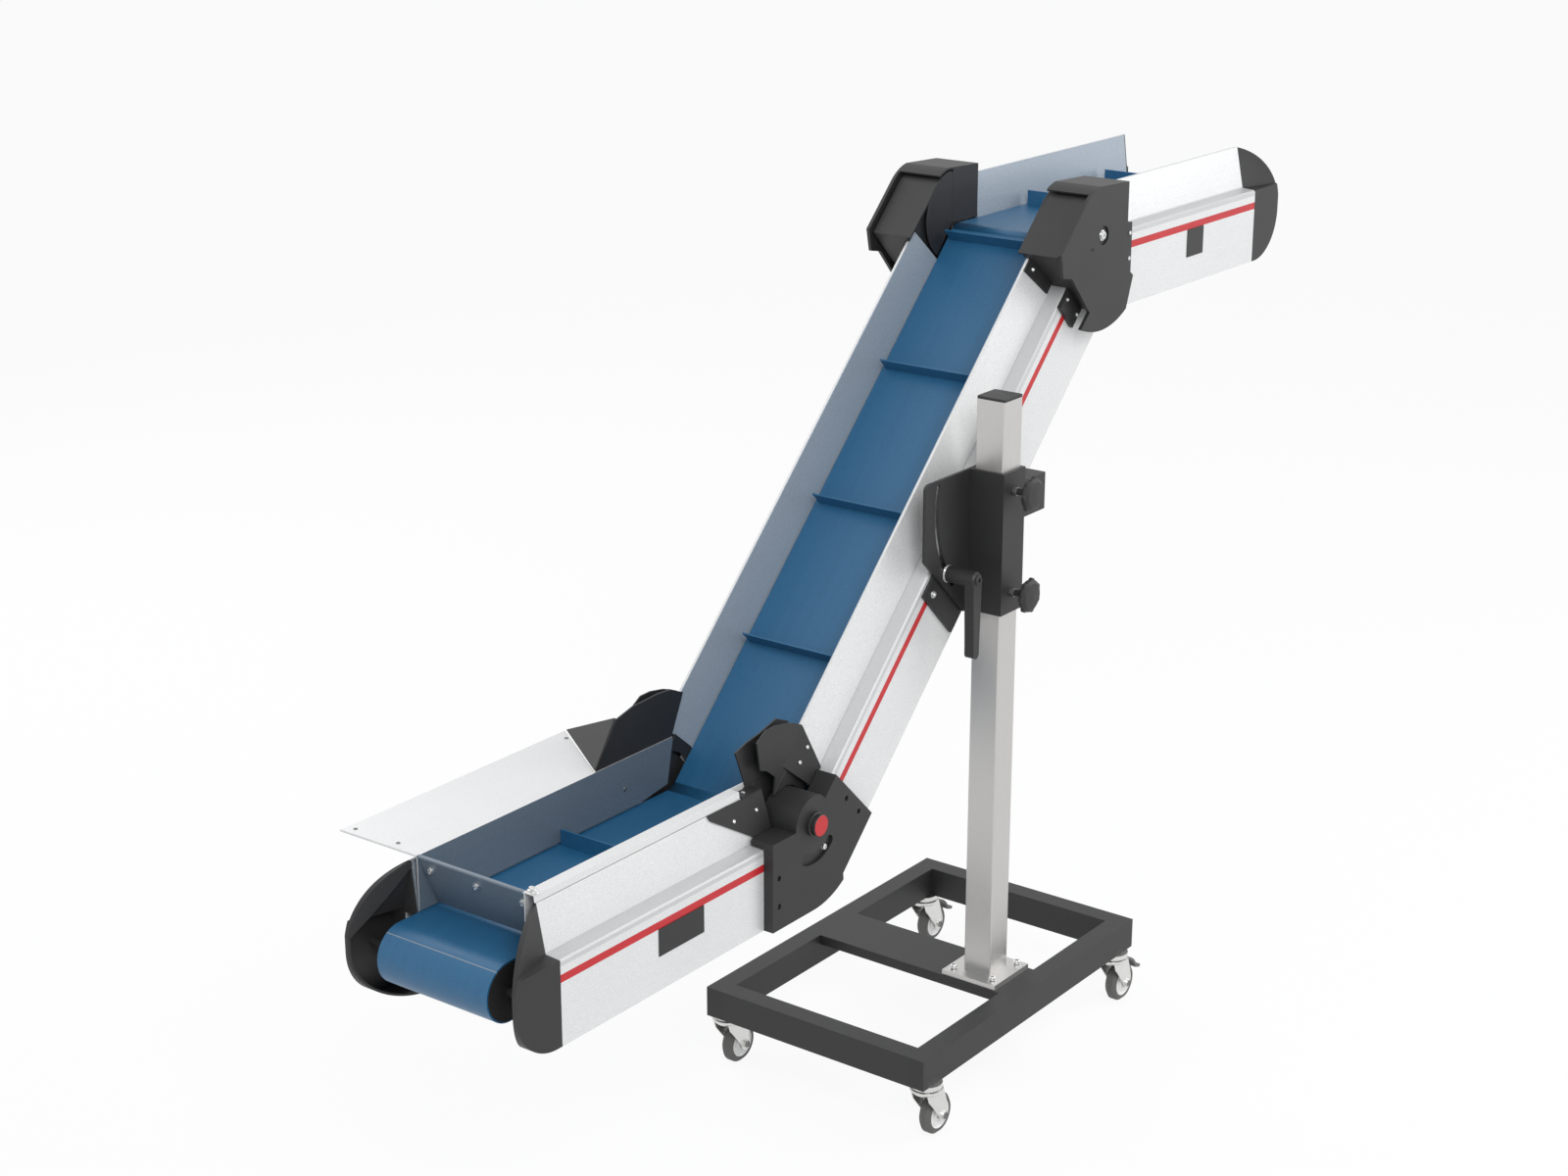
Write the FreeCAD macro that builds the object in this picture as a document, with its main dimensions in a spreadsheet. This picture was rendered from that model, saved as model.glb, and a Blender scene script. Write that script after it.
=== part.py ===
import FreeCAD, Part
import math
import os
import Sketcher

doc = FreeCAD.newDocument("angle_conveyor")
sheet = doc.addObject("Spreadsheet::Sheet", "Sizes")
V = FreeCAD.Vector


class Size:
    """A length or angle that carries its own formula, so that features can be bound to it."""

    def __init__(self, text, value):
        self.text = text
        self.value = value

    def _join(self, sign, other, swap=False):
        other = other if isinstance(other, Size) else Size(repr(other), other)
        a, b = (other, self) if swap else (self, other)
        worked_out = {"+": lambda: a.value + b.value, "-": lambda: a.value - b.value,
                      "*": lambda: a.value * b.value, "/": lambda: a.value / b.value}[sign]()
        return Size("(%s %s %s)" % (a.text, sign, b.text), worked_out)

    def __add__(self, other):
        return self._join("+", other)

    def __radd__(self, other):
        return self._join("+", other, True)

    def __sub__(self, other):
        return self._join("-", other)

    def __rsub__(self, other):
        return self._join("-", other, True)

    def __mul__(self, other):
        return self._join("*", other)

    def __rmul__(self, other):
        return self._join("*", other, True)

    def __truediv__(self, other):
        return self._join("/", other)

    def __neg__(self):
        return Size("(-1 * %s)" % self.text, -self.value)


def cos(angle):
    return Size("cos(%s)" % angle.text, math.cos(math.radians(angle.value)))


def sin(angle):
    return Size("sin(%s)" % angle.text, math.sin(math.radians(angle.value)))


def degrees(value):
    return Size(repr(value), float(value))


def about(centre_x, centre_z, radius, angle):
    return centre_x + radius * cos(angle), centre_z + radius * sin(angle)


def number(value):
    return value.value if isinstance(value, Size) else value


def words(value):
    return value.text if isinstance(value, Size) else repr(value)


sheet_row = [0]


def size(alias, value, note):
    sheet_row[0] += 1
    sheet.set("A%d" % sheet_row[0], note)
    sheet.set("B%d" % sheet_row[0], str(value))
    sheet.setAlias("B%d" % sheet_row[0], alias)
    return Size("Sizes.%s" % alias, float(value))


# Base frame on castors
frame_length = size("frame_length", 750, "base frame, along the conveyor")
frame_width = size("frame_width", 500, "base frame, across the conveyor")
frame_under = size("frame_under", 118, "underside of the frame above the floor")
rail_width = size("rail_width", 40, "frame tube, width")
rail_height = size("rail_height", 60, "frame tube, height")
tube_wall = size("tube_wall", 3, "wall of the frame tubes and the post")
plug_thick = size("plug_thick", 3, "plastic plug in an open tube end")
member_width = size("member_width", 125, "flat cross member under the post")
member_height = size("member_height", 20, "flat cross member, height")

# Post and its foot
post_side = size("post_side", 60, "square post, outside")
post_corner = size("post_corner", 3, "rounding of the post's edges")
post_top = size("post_top", 1321, "end of the post tube above the floor")
post_cap_thick = size("post_cap_thick", 5, "plastic cap on the post")
flange_side = size("flange_side", 120, "square foot plate of the post")
flange_thick = size("flange_thick", 10, "thickness of the foot plate")
flange_gap = size("flange_gap", 11, "foot plate from the near frame tube")

# Castors
wheel_radius = size("wheel_radius", 40, "castor wheel")
wheel_width = size("wheel_width", 24, "castor wheel, width of the tread")
castor_trail = size("castor_trail", 30, "axle behind the swivel axis")
castor_inset = size("castor_inset", 40, "swivel axis from the frame's end")
cup_radius = size("cup_radius", 30, "ball race cup of a castor")
cup_height = size("cup_height", 12, "height of the ball race cup")
race_gap = size("race_gap", 0.5, "gap between race cup and fork crown")
king_radius = size("king_radius", 6, "kingpin of a castor")
axle_radius = size("axle_radius", 5, "axle bolt of a castor")
running_gap = size("running_gap", 0.05, "radial clearance of a pin in its hole")
fork_thick = size("fork_thick", 2.5, "sheet of a castor fork")
fork_gap = size("fork_gap", 5, "air between wheel and fork leg")
pedal_gap = size("pedal_gap", 6, "air between wheel and brake pedal")
pedal_thick = size("pedal_thick", 5, "brake pedal")
pedal_width = size("pedal_width", 26, "width of a brake pedal")

# Conveyor sections and the two knees
belt_angle = size("belt_angle", 45, "slope of the incline")
hinge_height = size("hinge_height", 165, "knee axis above the underside of a section")
lower_knee_x = size("lower_knee_x", -522, "lower knee axis, along the conveyor")
lower_knee_z = size("lower_knee_z", 661, "lower knee axis above the floor")
incline_length = size("incline_length", 1265, "lower knee axis to upper knee axis")
infeed_length = size("infeed_length", 643, "lower knee axis to the end of the infeed profile")
discharge_length = size("discharge_length", 676, "upper knee axis to the end of the discharge profile")
lower_clear = size("lower_clear", 74, "profiles stop this short of the lower knee axis")
upper_clear = size("upper_clear", 92, "profiles stop this short of the upper knee axis")

# Extruded side profile, half widths from the conveyor's middle, heights from its underside
half_outer = size("half_outer", 185, "outer face of the side box")
half_box = size("half_box", 150, "inner face of the side box")
half_ledge = size("half_ledge", 155, "ledge meets the side board")
half_top_out = size("half_top_out", 138, "outer edge of the board's top")
half_top_in = size("half_top_in", 132, "inner edge of the board's top")
half_bend = size("half_bend", 125, "bend in the board's inner face")
half_lip = size("half_lip", 121, "board's lip beside the belt")
box_height = size("box_height", 150, "side box")
board_height = size("board_height", 235, "top of the side board")
bend_height = size("bend_height", 179, "bend in the board's inner face, height")
lip_height = size("lip_height", 143, "board's lip beside the belt, height")
stripe_low = size("stripe_low", 111, "coloured strip, lower edge")
stripe_high = size("stripe_high", 125, "coloured strip, upper edge")
stripe_deep = size("stripe_deep", 1.2, "groove of the coloured strip")
profile_wall = size("profile_wall", 3, "wall of the extruded profile")

# Belt, drums and slider bed
belt_top = size("belt_top", 148, "belt's carrying face above a section's underside")
belt_thick = size("belt_thick", 3, "belt")
belt_half = size("belt_half", 119, "half width of the belt")
drum_radius = size("drum_radius", 49, "end drums, without the belt")
drum_beyond = size("drum_beyond", 48, "drum axis beyond the end of a profile")
shaft_radius = size("shaft_radius", 8, "shaft of an end drum")
bed_thick = size("bed_thick", 3, "slider bed under the belt")
bar_side = size("bar_side", 30, "square bars between the side boxes")
bar_height = size("bar_height", 75, "underside of the bars above a section's underside")
cleat_height = size("cleat_height", 30, "cleat above the belt")
cleat_thick = size("cleat_thick", 3, "cleat")
cleat_share = size("cleat_share", 0.241, "cleat to cleat, as a share of the incline")

# Clamp on the post and the tilt plates
sleeve_gap = size("sleeve_gap", 0.5, "air between post and sleeve")
sleeve_wall = size("sleeve_wall", 5.5, "wall of the sleeve")
sleeve_top = size("sleeve_top", 1190, "top of the sleeve above the floor")
sleeve_length = size("sleeve_length", 270, "length of the sleeve")
pivot_along = size("pivot_along", 750, "tilt pivot from the lower knee axis, along the incline")
pivot_height = size("pivot_height", 76.5, "tilt pivot above the incline's underside")
pivot_radius = size("pivot_radius", 10, "tilt pivot pin")
pivot_box = size("pivot_box", 70, "square housing of the tilt pivot")
plate_thick = size("plate_thick", 6, "tilt plate and slotted plate")
plate_gap = size("plate_gap", 1, "air between tilt plate and slotted plate")
slot_radius = size("slot_radius", 215, "arc of the clamp slot about the tilt pivot")
slot_width = size("slot_width", 12, "clamp slot")
slot_from = size("slot_from", 167, "upper end of the clamp slot, angle about the tilt pivot")
slot_to = size("slot_to", 222, "lower end of the clamp slot, angle about the tilt pivot")
clamp_angle = size("clamp_angle", 214, "clamp screw in the slot, angle about the tilt pivot")
clamp_radius = size("clamp_radius", 5, "clamp screw")
slot_plate_reach = size("slot_plate_reach", 180, "slotted plate beyond the post axis")

# Moulded parts
skin = size("skin", 4, "wall of the moulded parts")
plate_low = size("plate_low", 5, "outer plate of the lower knee")
plate_back = size("plate_back", 14, "inner plate of the lower knee")
boss_radius = size("boss_radius", 52, "boss of the lower knee")
boss_end = size("boss_end", 130, "inner end of the boss, half width")
knee_slot = size("knee_slot", 66, "arc slot of the lower knee about its axis")
knee_slot_width = size("knee_slot_width", 20, "width of the arc slot")
cap_reach = size("cap_reach", 10, "end cap runs straight on before its round")
cap_radius = size("cap_radius", 96, "round of an end cap")
knee_reach = size("knee_reach", 118, "outer knee plate from the knee axis")
back_reach = size("back_reach", 99, "inner knee plate from the knee axis")
shelf_high = size("shelf_high", 159, "top of the inner knee plate above the incline's underside")
visor_thick = size("visor_thick", 3, "visors of the lower knee")
layer_gap = size("layer_gap", 1, "air between two knee plates")
boss_gap = size("boss_gap", 0.3, "air round the boss of the lower knee")

# Hopper sheets
sheet_thick = size("sheet_thick", 2, "sheet of the hopper")
liner_half = size("liner_half", 115, "hopper liner beside the belt")
liner_top = size("liner_top", 249, "top of the hopper liner above the underside")
flange_reach = size("flange_reach", 175, "level flange of the hopper")

frame_top = frame_under + rail_height
cleat_pitch = incline_length * cleat_share
post_half = post_side / 2
post_offset = frame_width / 2 - rail_width - flange_side / 2 - flange_gap
sleeve_in = post_half + sleeve_gap
sleeve_out = sleeve_in + sleeve_wall
conveyor_offset = half_outer + 2 * plate_thick + plate_gap + sleeve_out - post_offset
tilt = belt_angle
upper_knee_x = lower_knee_x + incline_length * cos(tilt)
upper_knee_z = lower_knee_z + incline_length * sin(tilt)
INFEED = (lower_knee_x, lower_knee_z, None)
INCLINE = (lower_knee_x, lower_knee_z, tilt)
UPPER = (upper_knee_x, upper_knee_z, tilt)
DISCHARGE = (upper_knee_x, upper_knee_z, None)
WORLD = (0, 0, None)


def world_point(section, along, height):
    """World x and z of a point given along a section and above its knee axis."""
    origin_x, origin_z, slope = section
    if slope is None:
        return origin_x + along, origin_z + height
    return (origin_x + along * cos(slope) - height * sin(slope),
            origin_z + along * sin(slope) + height * cos(slope))


def rise(height):
    """Height above a section's underside, counted from its knee axis."""
    return height - hinge_height


def bind(obj, name, value):
    if isinstance(value, Size):
        obj.setExpression(name, value.text)
    else:
        setattr(obj, name, value)


def place(obj, x, y, z, turn=0, axis=(0, 1, 0)):
    obj.setExpression("Placement", "create(<<placement>>; create(<<vector>>; %s; %s; %s); "
                      "create(<<rotation>>; create(<<vector>>; %d; %d; %d); %s))"
                      % (words(x), words(y), words(z), axis[0], axis[1], axis[2], words(turn)))


def place_in(obj, section, y):
    origin_x, origin_z, slope = section
    place(obj, origin_x, y, origin_z, 0 if slope is None else -slope)


def new_sketch(body, plane):
    sketch = body.newObject("Sketcher::SketchObject", body.Name + "_outline")
    support = [f for f in body.Origin.OriginFeatures if f.Role == plane][0]
    sketch.AttachmentSupport = (support, [""])
    sketch.MapMode = "FlatFace"
    return sketch


def pin_point(sketch, geometry, end, point):
    for axis, value in zip("XY", point):
        index = sketch.addConstraint(
            Sketcher.Constraint("Distance" + axis, -1, 1, geometry, end, float(number(value))))
        if isinstance(value, Size):
            sketch.renameConstraint(index, "place%d" % index)
            sketch.setExpression("Constraints.place%d" % index, value.text)


def arc_between(start, end, radius):
    """Arc of less than half a turn; a positive radius turns left on its way, a negative one right."""
    (ax, ay), (bx, by) = start, end
    chord = math.hypot(bx - ax, by - ay)
    reach = math.sqrt(max(radius * radius - chord * chord / 4, 0.0))
    side = 1 if radius > 0 else -1
    cx = (ax + bx) / 2 - side * reach * (by - ay) / chord
    cy = (ay + by) / 2 + side * reach * (bx - ax) / chord
    first = math.atan2(ay - cy, ax - cx)
    last = math.atan2(by - cy, bx - cx)
    if side < 0:
        first, last = last, first
    if last < first:
        last += 2 * math.pi
    circle = Part.Circle(V(cx, cy, 0), V(0, 0, 1), abs(radius))
    return Part.ArcOfCircle(circle, first, last)


def draw_loop(sketch, loop):
    """Closed outline of points (x, y); a third value is the radius of the arc to the next point."""
    corners = [(number(p[0]), number(p[1])) for p in loop]
    count = len(loop)
    first = sketch.GeometryCount
    heads = []
    tails = []
    for i, point in enumerate(loop):
        start, end = corners[i], corners[(i + 1) % count]
        if len(point) == 3:
            radius = number(point[2])
            index = sketch.addGeometry(arc_between(start, end, radius))
            heads.append((index, 1 if radius > 0 else 2))
            tails.append((index, 2 if radius > 0 else 1))
            bend = sketch.addConstraint(Sketcher.Constraint("Radius", index, abs(radius)))
            if isinstance(point[2], Size):
                sketch.renameConstraint(bend, "bend%d" % bend)
                side = "" if radius > 0 else "-1 * "
                sketch.setExpression("Constraints.bend%d" % bend, side + point[2].text)
        else:
            index = sketch.addGeometry(Part.LineSegment(V(start[0], start[1], 0), V(end[0], end[1], 0)))
            heads.append((index, 1))
            tails.append((index, 2))
    for i in range(count):
        following = (i + 1) % count
        sketch.addConstraint(Sketcher.Constraint(
            "Coincident", tails[i][0], tails[i][1], heads[following][0], heads[following][1]))
    for i, point in enumerate(loop):
        pin_point(sketch, heads[i][0], heads[i][1], point)
    return first


def draw_circle(sketch, x, y, radius):
    index = sketch.addGeometry(Part.Circle(V(number(x), number(y), 0), V(0, 0, 1), number(radius)))
    bend = sketch.addConstraint(Sketcher.Constraint("Radius", index, float(number(radius))))
    if isinstance(radius, Size):
        sketch.renameConstraint(bend, "bend%d" % bend)
        sketch.setExpression("Constraints.bend%d" % bend, radius.text)
    pin_point(sketch, index, 3, (x, y))


def pad(name, plane, loops, depth, circles=()):
    """Body padded from outlines on one of its planes: along +X from YZ, +Y from XZ, +Z from XY."""
    body = doc.addObject("PartDesign::Body", name)
    sketch = new_sketch(body, plane + "_Plane")
    for loop in loops:
        draw_loop(sketch, loop)
    for circle in circles:
        draw_circle(sketch, *circle)
    feature = body.newObject("PartDesign::Pad", name + "_pad")
    feature.Profile = sketch
    feature.Reversed = plane == "XZ"
    bind(feature, "Length", depth)
    sketch.Visibility = False
    return body


def turned(name, profile, x, y, z, turn=0, axis=(1, 0, 0)):
    """Body revolved about its own Z axis from an outline of (radius, height) points."""
    body = doc.addObject("PartDesign::Body", name)
    sketch = new_sketch(body, "XZ_Plane")
    draw_loop(sketch, profile)
    feature = body.newObject("PartDesign::Revolution", name + "_turn")
    feature.Profile = sketch
    feature.ReferenceAxis = (sketch, ["V_Axis"])
    feature.Angle = 360
    place(body, x, y, z, turn, axis)
    return body


def across(name, section, loops, half_near, half_far, circles=()):
    """Side outline in a section, padded across it between two half widths on the near side."""
    body = pad(name, "XZ", loops, half_near - half_far, circles)
    place_in(body, section, conveyor_offset - half_near)
    return body


def lengthwise(name, section, loops, start, end):
    """Cross outline (half width, height) of the near side, padded along a section."""
    body = pad(name, "YZ", loops, end - start)
    x, z = world_point(section, start, -hinge_height)
    slope = section[2]
    place(body, x, conveyor_offset, z, 0 if slope is None else -slope)
    return body


def fuse(name, shapes):
    feature = doc.addObject("Part::MultiFuse", name)
    feature.Shapes = shapes
    return feature


def cut(name, base, tool):
    feature = doc.addObject("Part::Cut", name)
    feature.Base = base
    feature.Tool = tool
    return feature


def common(name, shapes):
    feature = doc.addObject("Part::MultiCommon", name)
    feature.Shapes = shapes
    return feature


def mirrored(source, middle=conveyor_offset):
    """The same piece on the other side of a plane across Y."""
    feature = doc.addObject("Part::Mirroring", source.Name + "_far")
    feature.Source = source
    feature.Normal = V(0, 1, 0)
    bind_base = middle.text if isinstance(middle, Size) else repr(middle)
    feature.setExpression("Base.y", bind_base)
    return feature


nodes = []


def node(label, pieces):
    """One file of the hand-in: a piece, or like pieces that one body carries."""
    if len(pieces) == 1:
        result = pieces[0]
    else:
        result = doc.addObject("Part::Compound", label + "_set")
        result.Links = pieces
    result.Label = label
    nodes.append(result)
    return result


def both_sides(label, piece):
    return node(label, [piece, mirrored(piece)])


# Base frame: two long square-ended tubes, with shorter tubes and a flat member between them
def tube(name, plane, width, height, wall, length):
    outer = [(0, 0), (width, 0), (width, height), (0, height)]
    inner = [(wall, wall), (width - wall, wall), (width - wall, height - wall), (wall, height - wall)]
    return pad(name, plane, [outer, inner], length)


rails = []
plugs = []
for side, sign in (("near", -1), ("far", 1)):
    rail = tube("rail_" + side, "YZ", rail_width, rail_height, tube_wall, frame_length)
    edge = -frame_width / 2 if sign < 0 else frame_width / 2 - rail_width
    place(rail, -frame_length / 2, edge, frame_under)
    rails.append(rail)
    for end, start in (("front", -frame_length / 2), ("back", frame_length / 2 - plug_thick)):
        plug = pad("plug_%s_%s" % (side, end), "YZ", [[
            (tube_wall, tube_wall), (rail_width - tube_wall, tube_wall),
            (rail_width - tube_wall, rail_height - tube_wall), (tube_wall, rail_height - tube_wall)]], plug_thick)
        place(plug, start, edge, frame_under)
        plugs.append(plug)
node("side_rails", rails)
node("rail_plugs", plugs)

between = frame_width - 2 * rail_width
ties = []
for name, width, height, x in (
        ("tie_front", rail_width, rail_height, -frame_length / 2),
        ("tie_back", rail_width, rail_height, frame_length / 2 - rail_width),
        ("tie_middle", member_width, member_height, -member_width / 2)):
    tie = tube(name, "XZ", width, height, tube_wall, between)
    place(tie, x, -between / 2, frame_top - height)
    ties.append(tie)
node("cross_rails", ties)

# Post: foot plate on the cross member, square tube with rounded edges, flat cap
post_y = -post_offset
post_foot = frame_top + flange_thick
foot_half = flange_side / 2
foot_plate = pad("foot_plate", "XY", [[(-foot_half, -foot_half), (foot_half, -foot_half),
                                       (foot_half, foot_half), (-foot_half, foot_half)]], flange_thick)
place(foot_plate, 0, post_y, frame_top)
node("post_flange", [foot_plate])


def rounded_square(half, corner):
    inside = half - corner
    return [(-inside, -half), (inside, -half, corner), (half, -inside), (half, inside, corner),
            (inside, half), (-inside, half, corner), (-half, inside), (-half, -inside, corner)]


post = pad("post_tube", "XY", [rounded_square(post_half, post_corner),
                               rounded_square(post_half - tube_wall, post_corner / 2)], post_top - post_foot)
place(post, 0, post_y, post_foot)
node("post", [post])
post_cap = pad("post_lid", "XY", [rounded_square(post_half, post_corner)], post_cap_thick)
place(post_cap, 0, post_y, post_top)
node("post_cap", [post_cap])

# Castors: a race cup under each rail, a swivelling fork, and a wheel on an axle bolt
cup_low = frame_under - cup_height
crown_top = cup_low - race_gap
crown_low = crown_top - 9
leg_gap = wheel_width / 2 + fork_gap
castor_x = frame_length / 2 - castor_inset
castor_y = frame_width / 2 - rail_width / 2
cups = []
for end, sign_x in (("front", -1), ("back", 1)):
    for side, sign_y in (("near", -1), ("far", 1)):
        corner = end + "_" + side
        x = castor_x * sign_x
        y = castor_y * sign_y
        rim = cup_radius
        cups.append(turned("cup_" + corner, [
            (king_radius + running_gap, 0), (rim - 3, 0), (rim, 3), (rim, cup_height),
            (king_radius + running_gap, cup_height)], x, y, cup_low))
        crown = turned("crown_" + corner, [
            (0, -9), (rim - 4, -9), (rim + 1, -4), (rim + 1, 0), (king_radius, 0),
            (king_radius, cup_height - race_gap), (0, cup_height - race_gap)], x, y, crown_top)
        legs = []
        for leg_name, leg_low in (("a", -leg_gap - fork_thick), ("b", leg_gap)):
            foot = axle_radius + 7
            leg = pad("leg_%s_%s" % (leg_name, corner), "XZ", [[
                (-rim + 8, crown_low - wheel_radius + 2), (-rim + 14, crown_low - wheel_radius - 14),
                (castor_trail - foot, 0, foot), (castor_trail, -foot, foot), (castor_trail + foot, 0),
                (castor_trail + foot - 2, 26), (rim - 2, crown_low - wheel_radius + 2)]], fork_thick)
            place(leg, x, y + leg_low, wheel_radius)
            legs.append(leg)
        head = axle_radius + 3
        axle = turned("axle_" + corner, [
            (0, 0), (head, 0), (head, 4), (axle_radius, 4),
            (axle_radius, 2 * leg_gap + 2 * fork_thick + 4), (head, 2 * leg_gap + 2 * fork_thick + 4),
            (head, 2 * leg_gap + 2 * fork_thick + 8), (0, 2 * leg_gap + 2 * fork_thick + 8)],
            x + castor_trail, y + leg_gap + fork_thick + 4, wheel_radius, 90)
        node("castor_fork_" + corner, [fuse("fork_" + corner, [crown] + legs + [axle])])
        half_tread = wheel_width / 2
        wheel = turned("wheel_" + corner, [
            (axle_radius + running_gap, -half_tread), (12, -half_tread), (14, -half_tread + 3),
            (26, -half_tread + 3), (28, -half_tread + 1), (wheel_radius - 6, -half_tread),
            (wheel_radius, -half_tread + 6), (wheel_radius, half_tread - 6), (wheel_radius - 6, half_tread),
            (28, half_tread - 1), (26, half_tread - 3), (14, half_tread - 3), (12, half_tread),
            (axle_radius + running_gap, half_tread)], x + castor_trail, y, wheel_radius, 90)
        node("castor_wheel_" + corner, [wheel])
    if end == "back":
        for side, sign_y in (("near", -1), ("far", 1)):
            x = castor_x * sign_x
            inside = wheel_radius + pedal_gap
            outside = inside + pedal_thick
            last = degrees(20)
            pedal = pad("pedal_" + side, "XZ", [[
                (10, crown_low - wheel_radius), (24, crown_low - wheel_radius),
                about(castor_trail, 0, outside, degrees(86)) + (-outside,),
                about(castor_trail, 0, outside, last), (castor_trail + 62, 16), (castor_trail + 60, 10),
                about(castor_trail, 0, inside, last) + (inside,),
                about(castor_trail, 0, inside, degrees(100)), (10, 46)]], pedal_width)
            place(pedal, x, castor_y * sign_y - pedal_width / 2, wheel_radius)
            node("castor_brake_back_" + side, [pedal])
node("castor_cups", cups)

# Clamp on the post: a sleeve, the housing of the tilt pivot and a plate with the arc slot
pivot_x, pivot_z = world_point(INCLINE, pivot_along, rise(pivot_height))
sleeve = pad("sleeve_tube", "XY", [
    [(-sleeve_out, -sleeve_out), (sleeve_out, -sleeve_out), (sleeve_out, sleeve_out), (-sleeve_out, sleeve_out)],
    [(-sleeve_in, -sleeve_in), (sleeve_in, -sleeve_in), (sleeve_in, sleeve_in), (-sleeve_in, sleeve_in)]],
    sleeve_length)
place(sleeve, 0, post_y, sleeve_top - sleeve_length)
node("post_sleeve", [sleeve])

profile_face = conveyor_offset - half_outer
plate_near = profile_face - plate_thick
slot_plate_far = plate_near - plate_gap
slot_plate_near = post_y + sleeve_out
box_half = pivot_box / 2
housing = pad("pivot_block", "XZ", [[
    (sleeve_out, pivot_z - box_half), (pivot_x + box_half, pivot_z - box_half),
    (pivot_x + box_half, pivot_z + box_half), (sleeve_out, pivot_z + box_half)]],
    2 * sleeve_out, [(pivot_x, pivot_z, pivot_radius + running_gap)])
place(housing, 0, post_y - sleeve_out, 0)
node("pivot_housing", [housing])

slot_in = slot_radius - slot_width / 2
slot_out = slot_radius + slot_width / 2
slot_end = slot_width / 2
sleeve_low = sleeve_top - sleeve_length
slot_low_x, slot_low_z = about(pivot_x, pivot_z, slot_radius, slot_to)
slot_high_x, slot_high_z = about(pivot_x, pivot_z, slot_radius, slot_from)
slot_loop = [
    about(pivot_x, pivot_z, slot_out, slot_from) + (slot_out,),
    about(pivot_x, pivot_z, slot_out, slot_to) + (slot_end,),
    (slot_low_x - slot_end * sin(slot_to), slot_low_z + slot_end * cos(slot_to), slot_end),
    about(pivot_x, pivot_z, slot_in, slot_to) + (-slot_in,),
    about(pivot_x, pivot_z, slot_in, slot_from) + (slot_end,),
    (slot_high_x + slot_end * sin(slot_from), slot_high_z - slot_end * cos(slot_from), slot_end)]
slotted = pad("slotted_plate", "XZ", [[
    (sleeve_out, sleeve_low), (sleeve_out, pivot_z - box_half), (pivot_x + box_half, pivot_z - box_half),
    (pivot_x + box_half, pivot_z + box_half), (sleeve_out, pivot_z + box_half), (sleeve_out, sleeve_top),
    (12 - slot_plate_reach, sleeve_top, 12), (-slot_plate_reach, sleeve_top - 12),
    (-slot_plate_reach, sleeve_low + 126), (-sleeve_out - 14, sleeve_low)],
    slot_loop], slot_plate_far - slot_plate_near, [(pivot_x, pivot_z, pivot_radius + running_gap)])
place(slotted, 0, slot_plate_near, 0)
node("slot_plate", [slotted])

knob_profile = [(0, 0), (6, 0), (6, 20), (13, 24), (15, 30), (29, 33), (31, 37), (30, 42), (24, 46), (0, 48)]
knobs = []
for name, z in (("upper", sleeve_top - 38), ("lower", sleeve_low + 39)):
    knobs.append(turned("knob_" + name, knob_profile, 0, post_y - sleeve_out, z, 90))
node("clamp_knobs", knobs)

# Tilt plate on the incline, the pivot pin, and the clamping lever on its screw
clamp_turn = clamp_angle - belt_angle
clamp_along = pivot_along + slot_radius * cos(clamp_turn)
clamp_height = rise(pivot_height) + slot_radius * sin(clamp_turn)
tilt_blank = across("tilt_blank", INCLINE, [[
    (472, rise(10)), (pivot_along + 45, rise(10)), (pivot_along + 45, rise(box_height - 10)),
    (472, rise(box_height - 10))]], half_outer + plate_thick, half_outer)
pin_end = conveyor_offset - (post_y - sleeve_out + 4)
pivot_pin = across("pivot_pin", INCLINE, [], pin_end, half_outer + plate_thick,
                   [(pivot_along, rise(pivot_height), pivot_radius)])
lever_face = conveyor_offset - slot_plate_near + plate_gap
clamp_screw = across("clamp_screw", INCLINE, [], lever_face, half_outer + plate_thick,
                     [(clamp_along, clamp_height, clamp_radius)])
node("tilt_plate", [tilt_blank])
node("tilt_pin", [pivot_pin])

lever_x, lever_z = world_point(INCLINE, clamp_along, clamp_height)
lever_hub = turned("lever_hub", [(0, 0), (13, 0), (15, 3), (15, 62), (12, 66), (0, 66)],
                   lever_x, conveyor_offset - lever_face, lever_z, 90)
lever_grip = pad("lever_grip", "XZ", [[
    (-14, 0), (-9, -128), (-9, -142, 9), (0, -151, 9), (9, -142), (9, -128), (14, 0)]], 20)
place(lever_grip, lever_x, conveyor_offset - lever_face - 66, lever_z)
node("clamp_lever", [fuse("lever_solid", [lever_hub, lever_grip, clamp_screw])])

# Extruded side profile: box, ledge and leaning board, hollow, with a groove for the coloured strip
groove = half_outer - stripe_deep
profile_outline = [
    (-half_outer, 0), (-half_box, 0), (-half_box, lip_height - 4), (-half_lip - 6, lip_height - 4),
    (-half_lip, lip_height), (-half_bend, bend_height), (-half_top_in, board_height),
    (-half_top_out, board_height), (-half_ledge, box_height + 2), (-half_outer + 3, box_height),
    (-half_outer, box_height - 3), (-half_outer, stripe_high), (-groove, stripe_high),
    (-groove, stripe_low), (-half_outer, stripe_low)]
box_hollow = [
    (-half_outer + profile_wall, profile_wall), (-half_box - profile_wall, profile_wall),
    (-half_box - profile_wall, box_height - 2 * profile_wall),
    (-half_outer + profile_wall, box_height - 2 * profile_wall)]
board_hollow = [
    (-half_box + 1, lip_height - 4 + profile_wall), (-half_lip - 5, lip_height - 3 + profile_wall),
    (-half_bend - profile_wall, bend_height), (-half_bend - profile_wall - 3, bend_height + 26),
    (-half_ledge + profile_wall + 1, box_height + 5)]


def side_profile(name, section, start, end):
    return lengthwise(name, section, [profile_outline, box_hollow, board_hollow], start, end)


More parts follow.
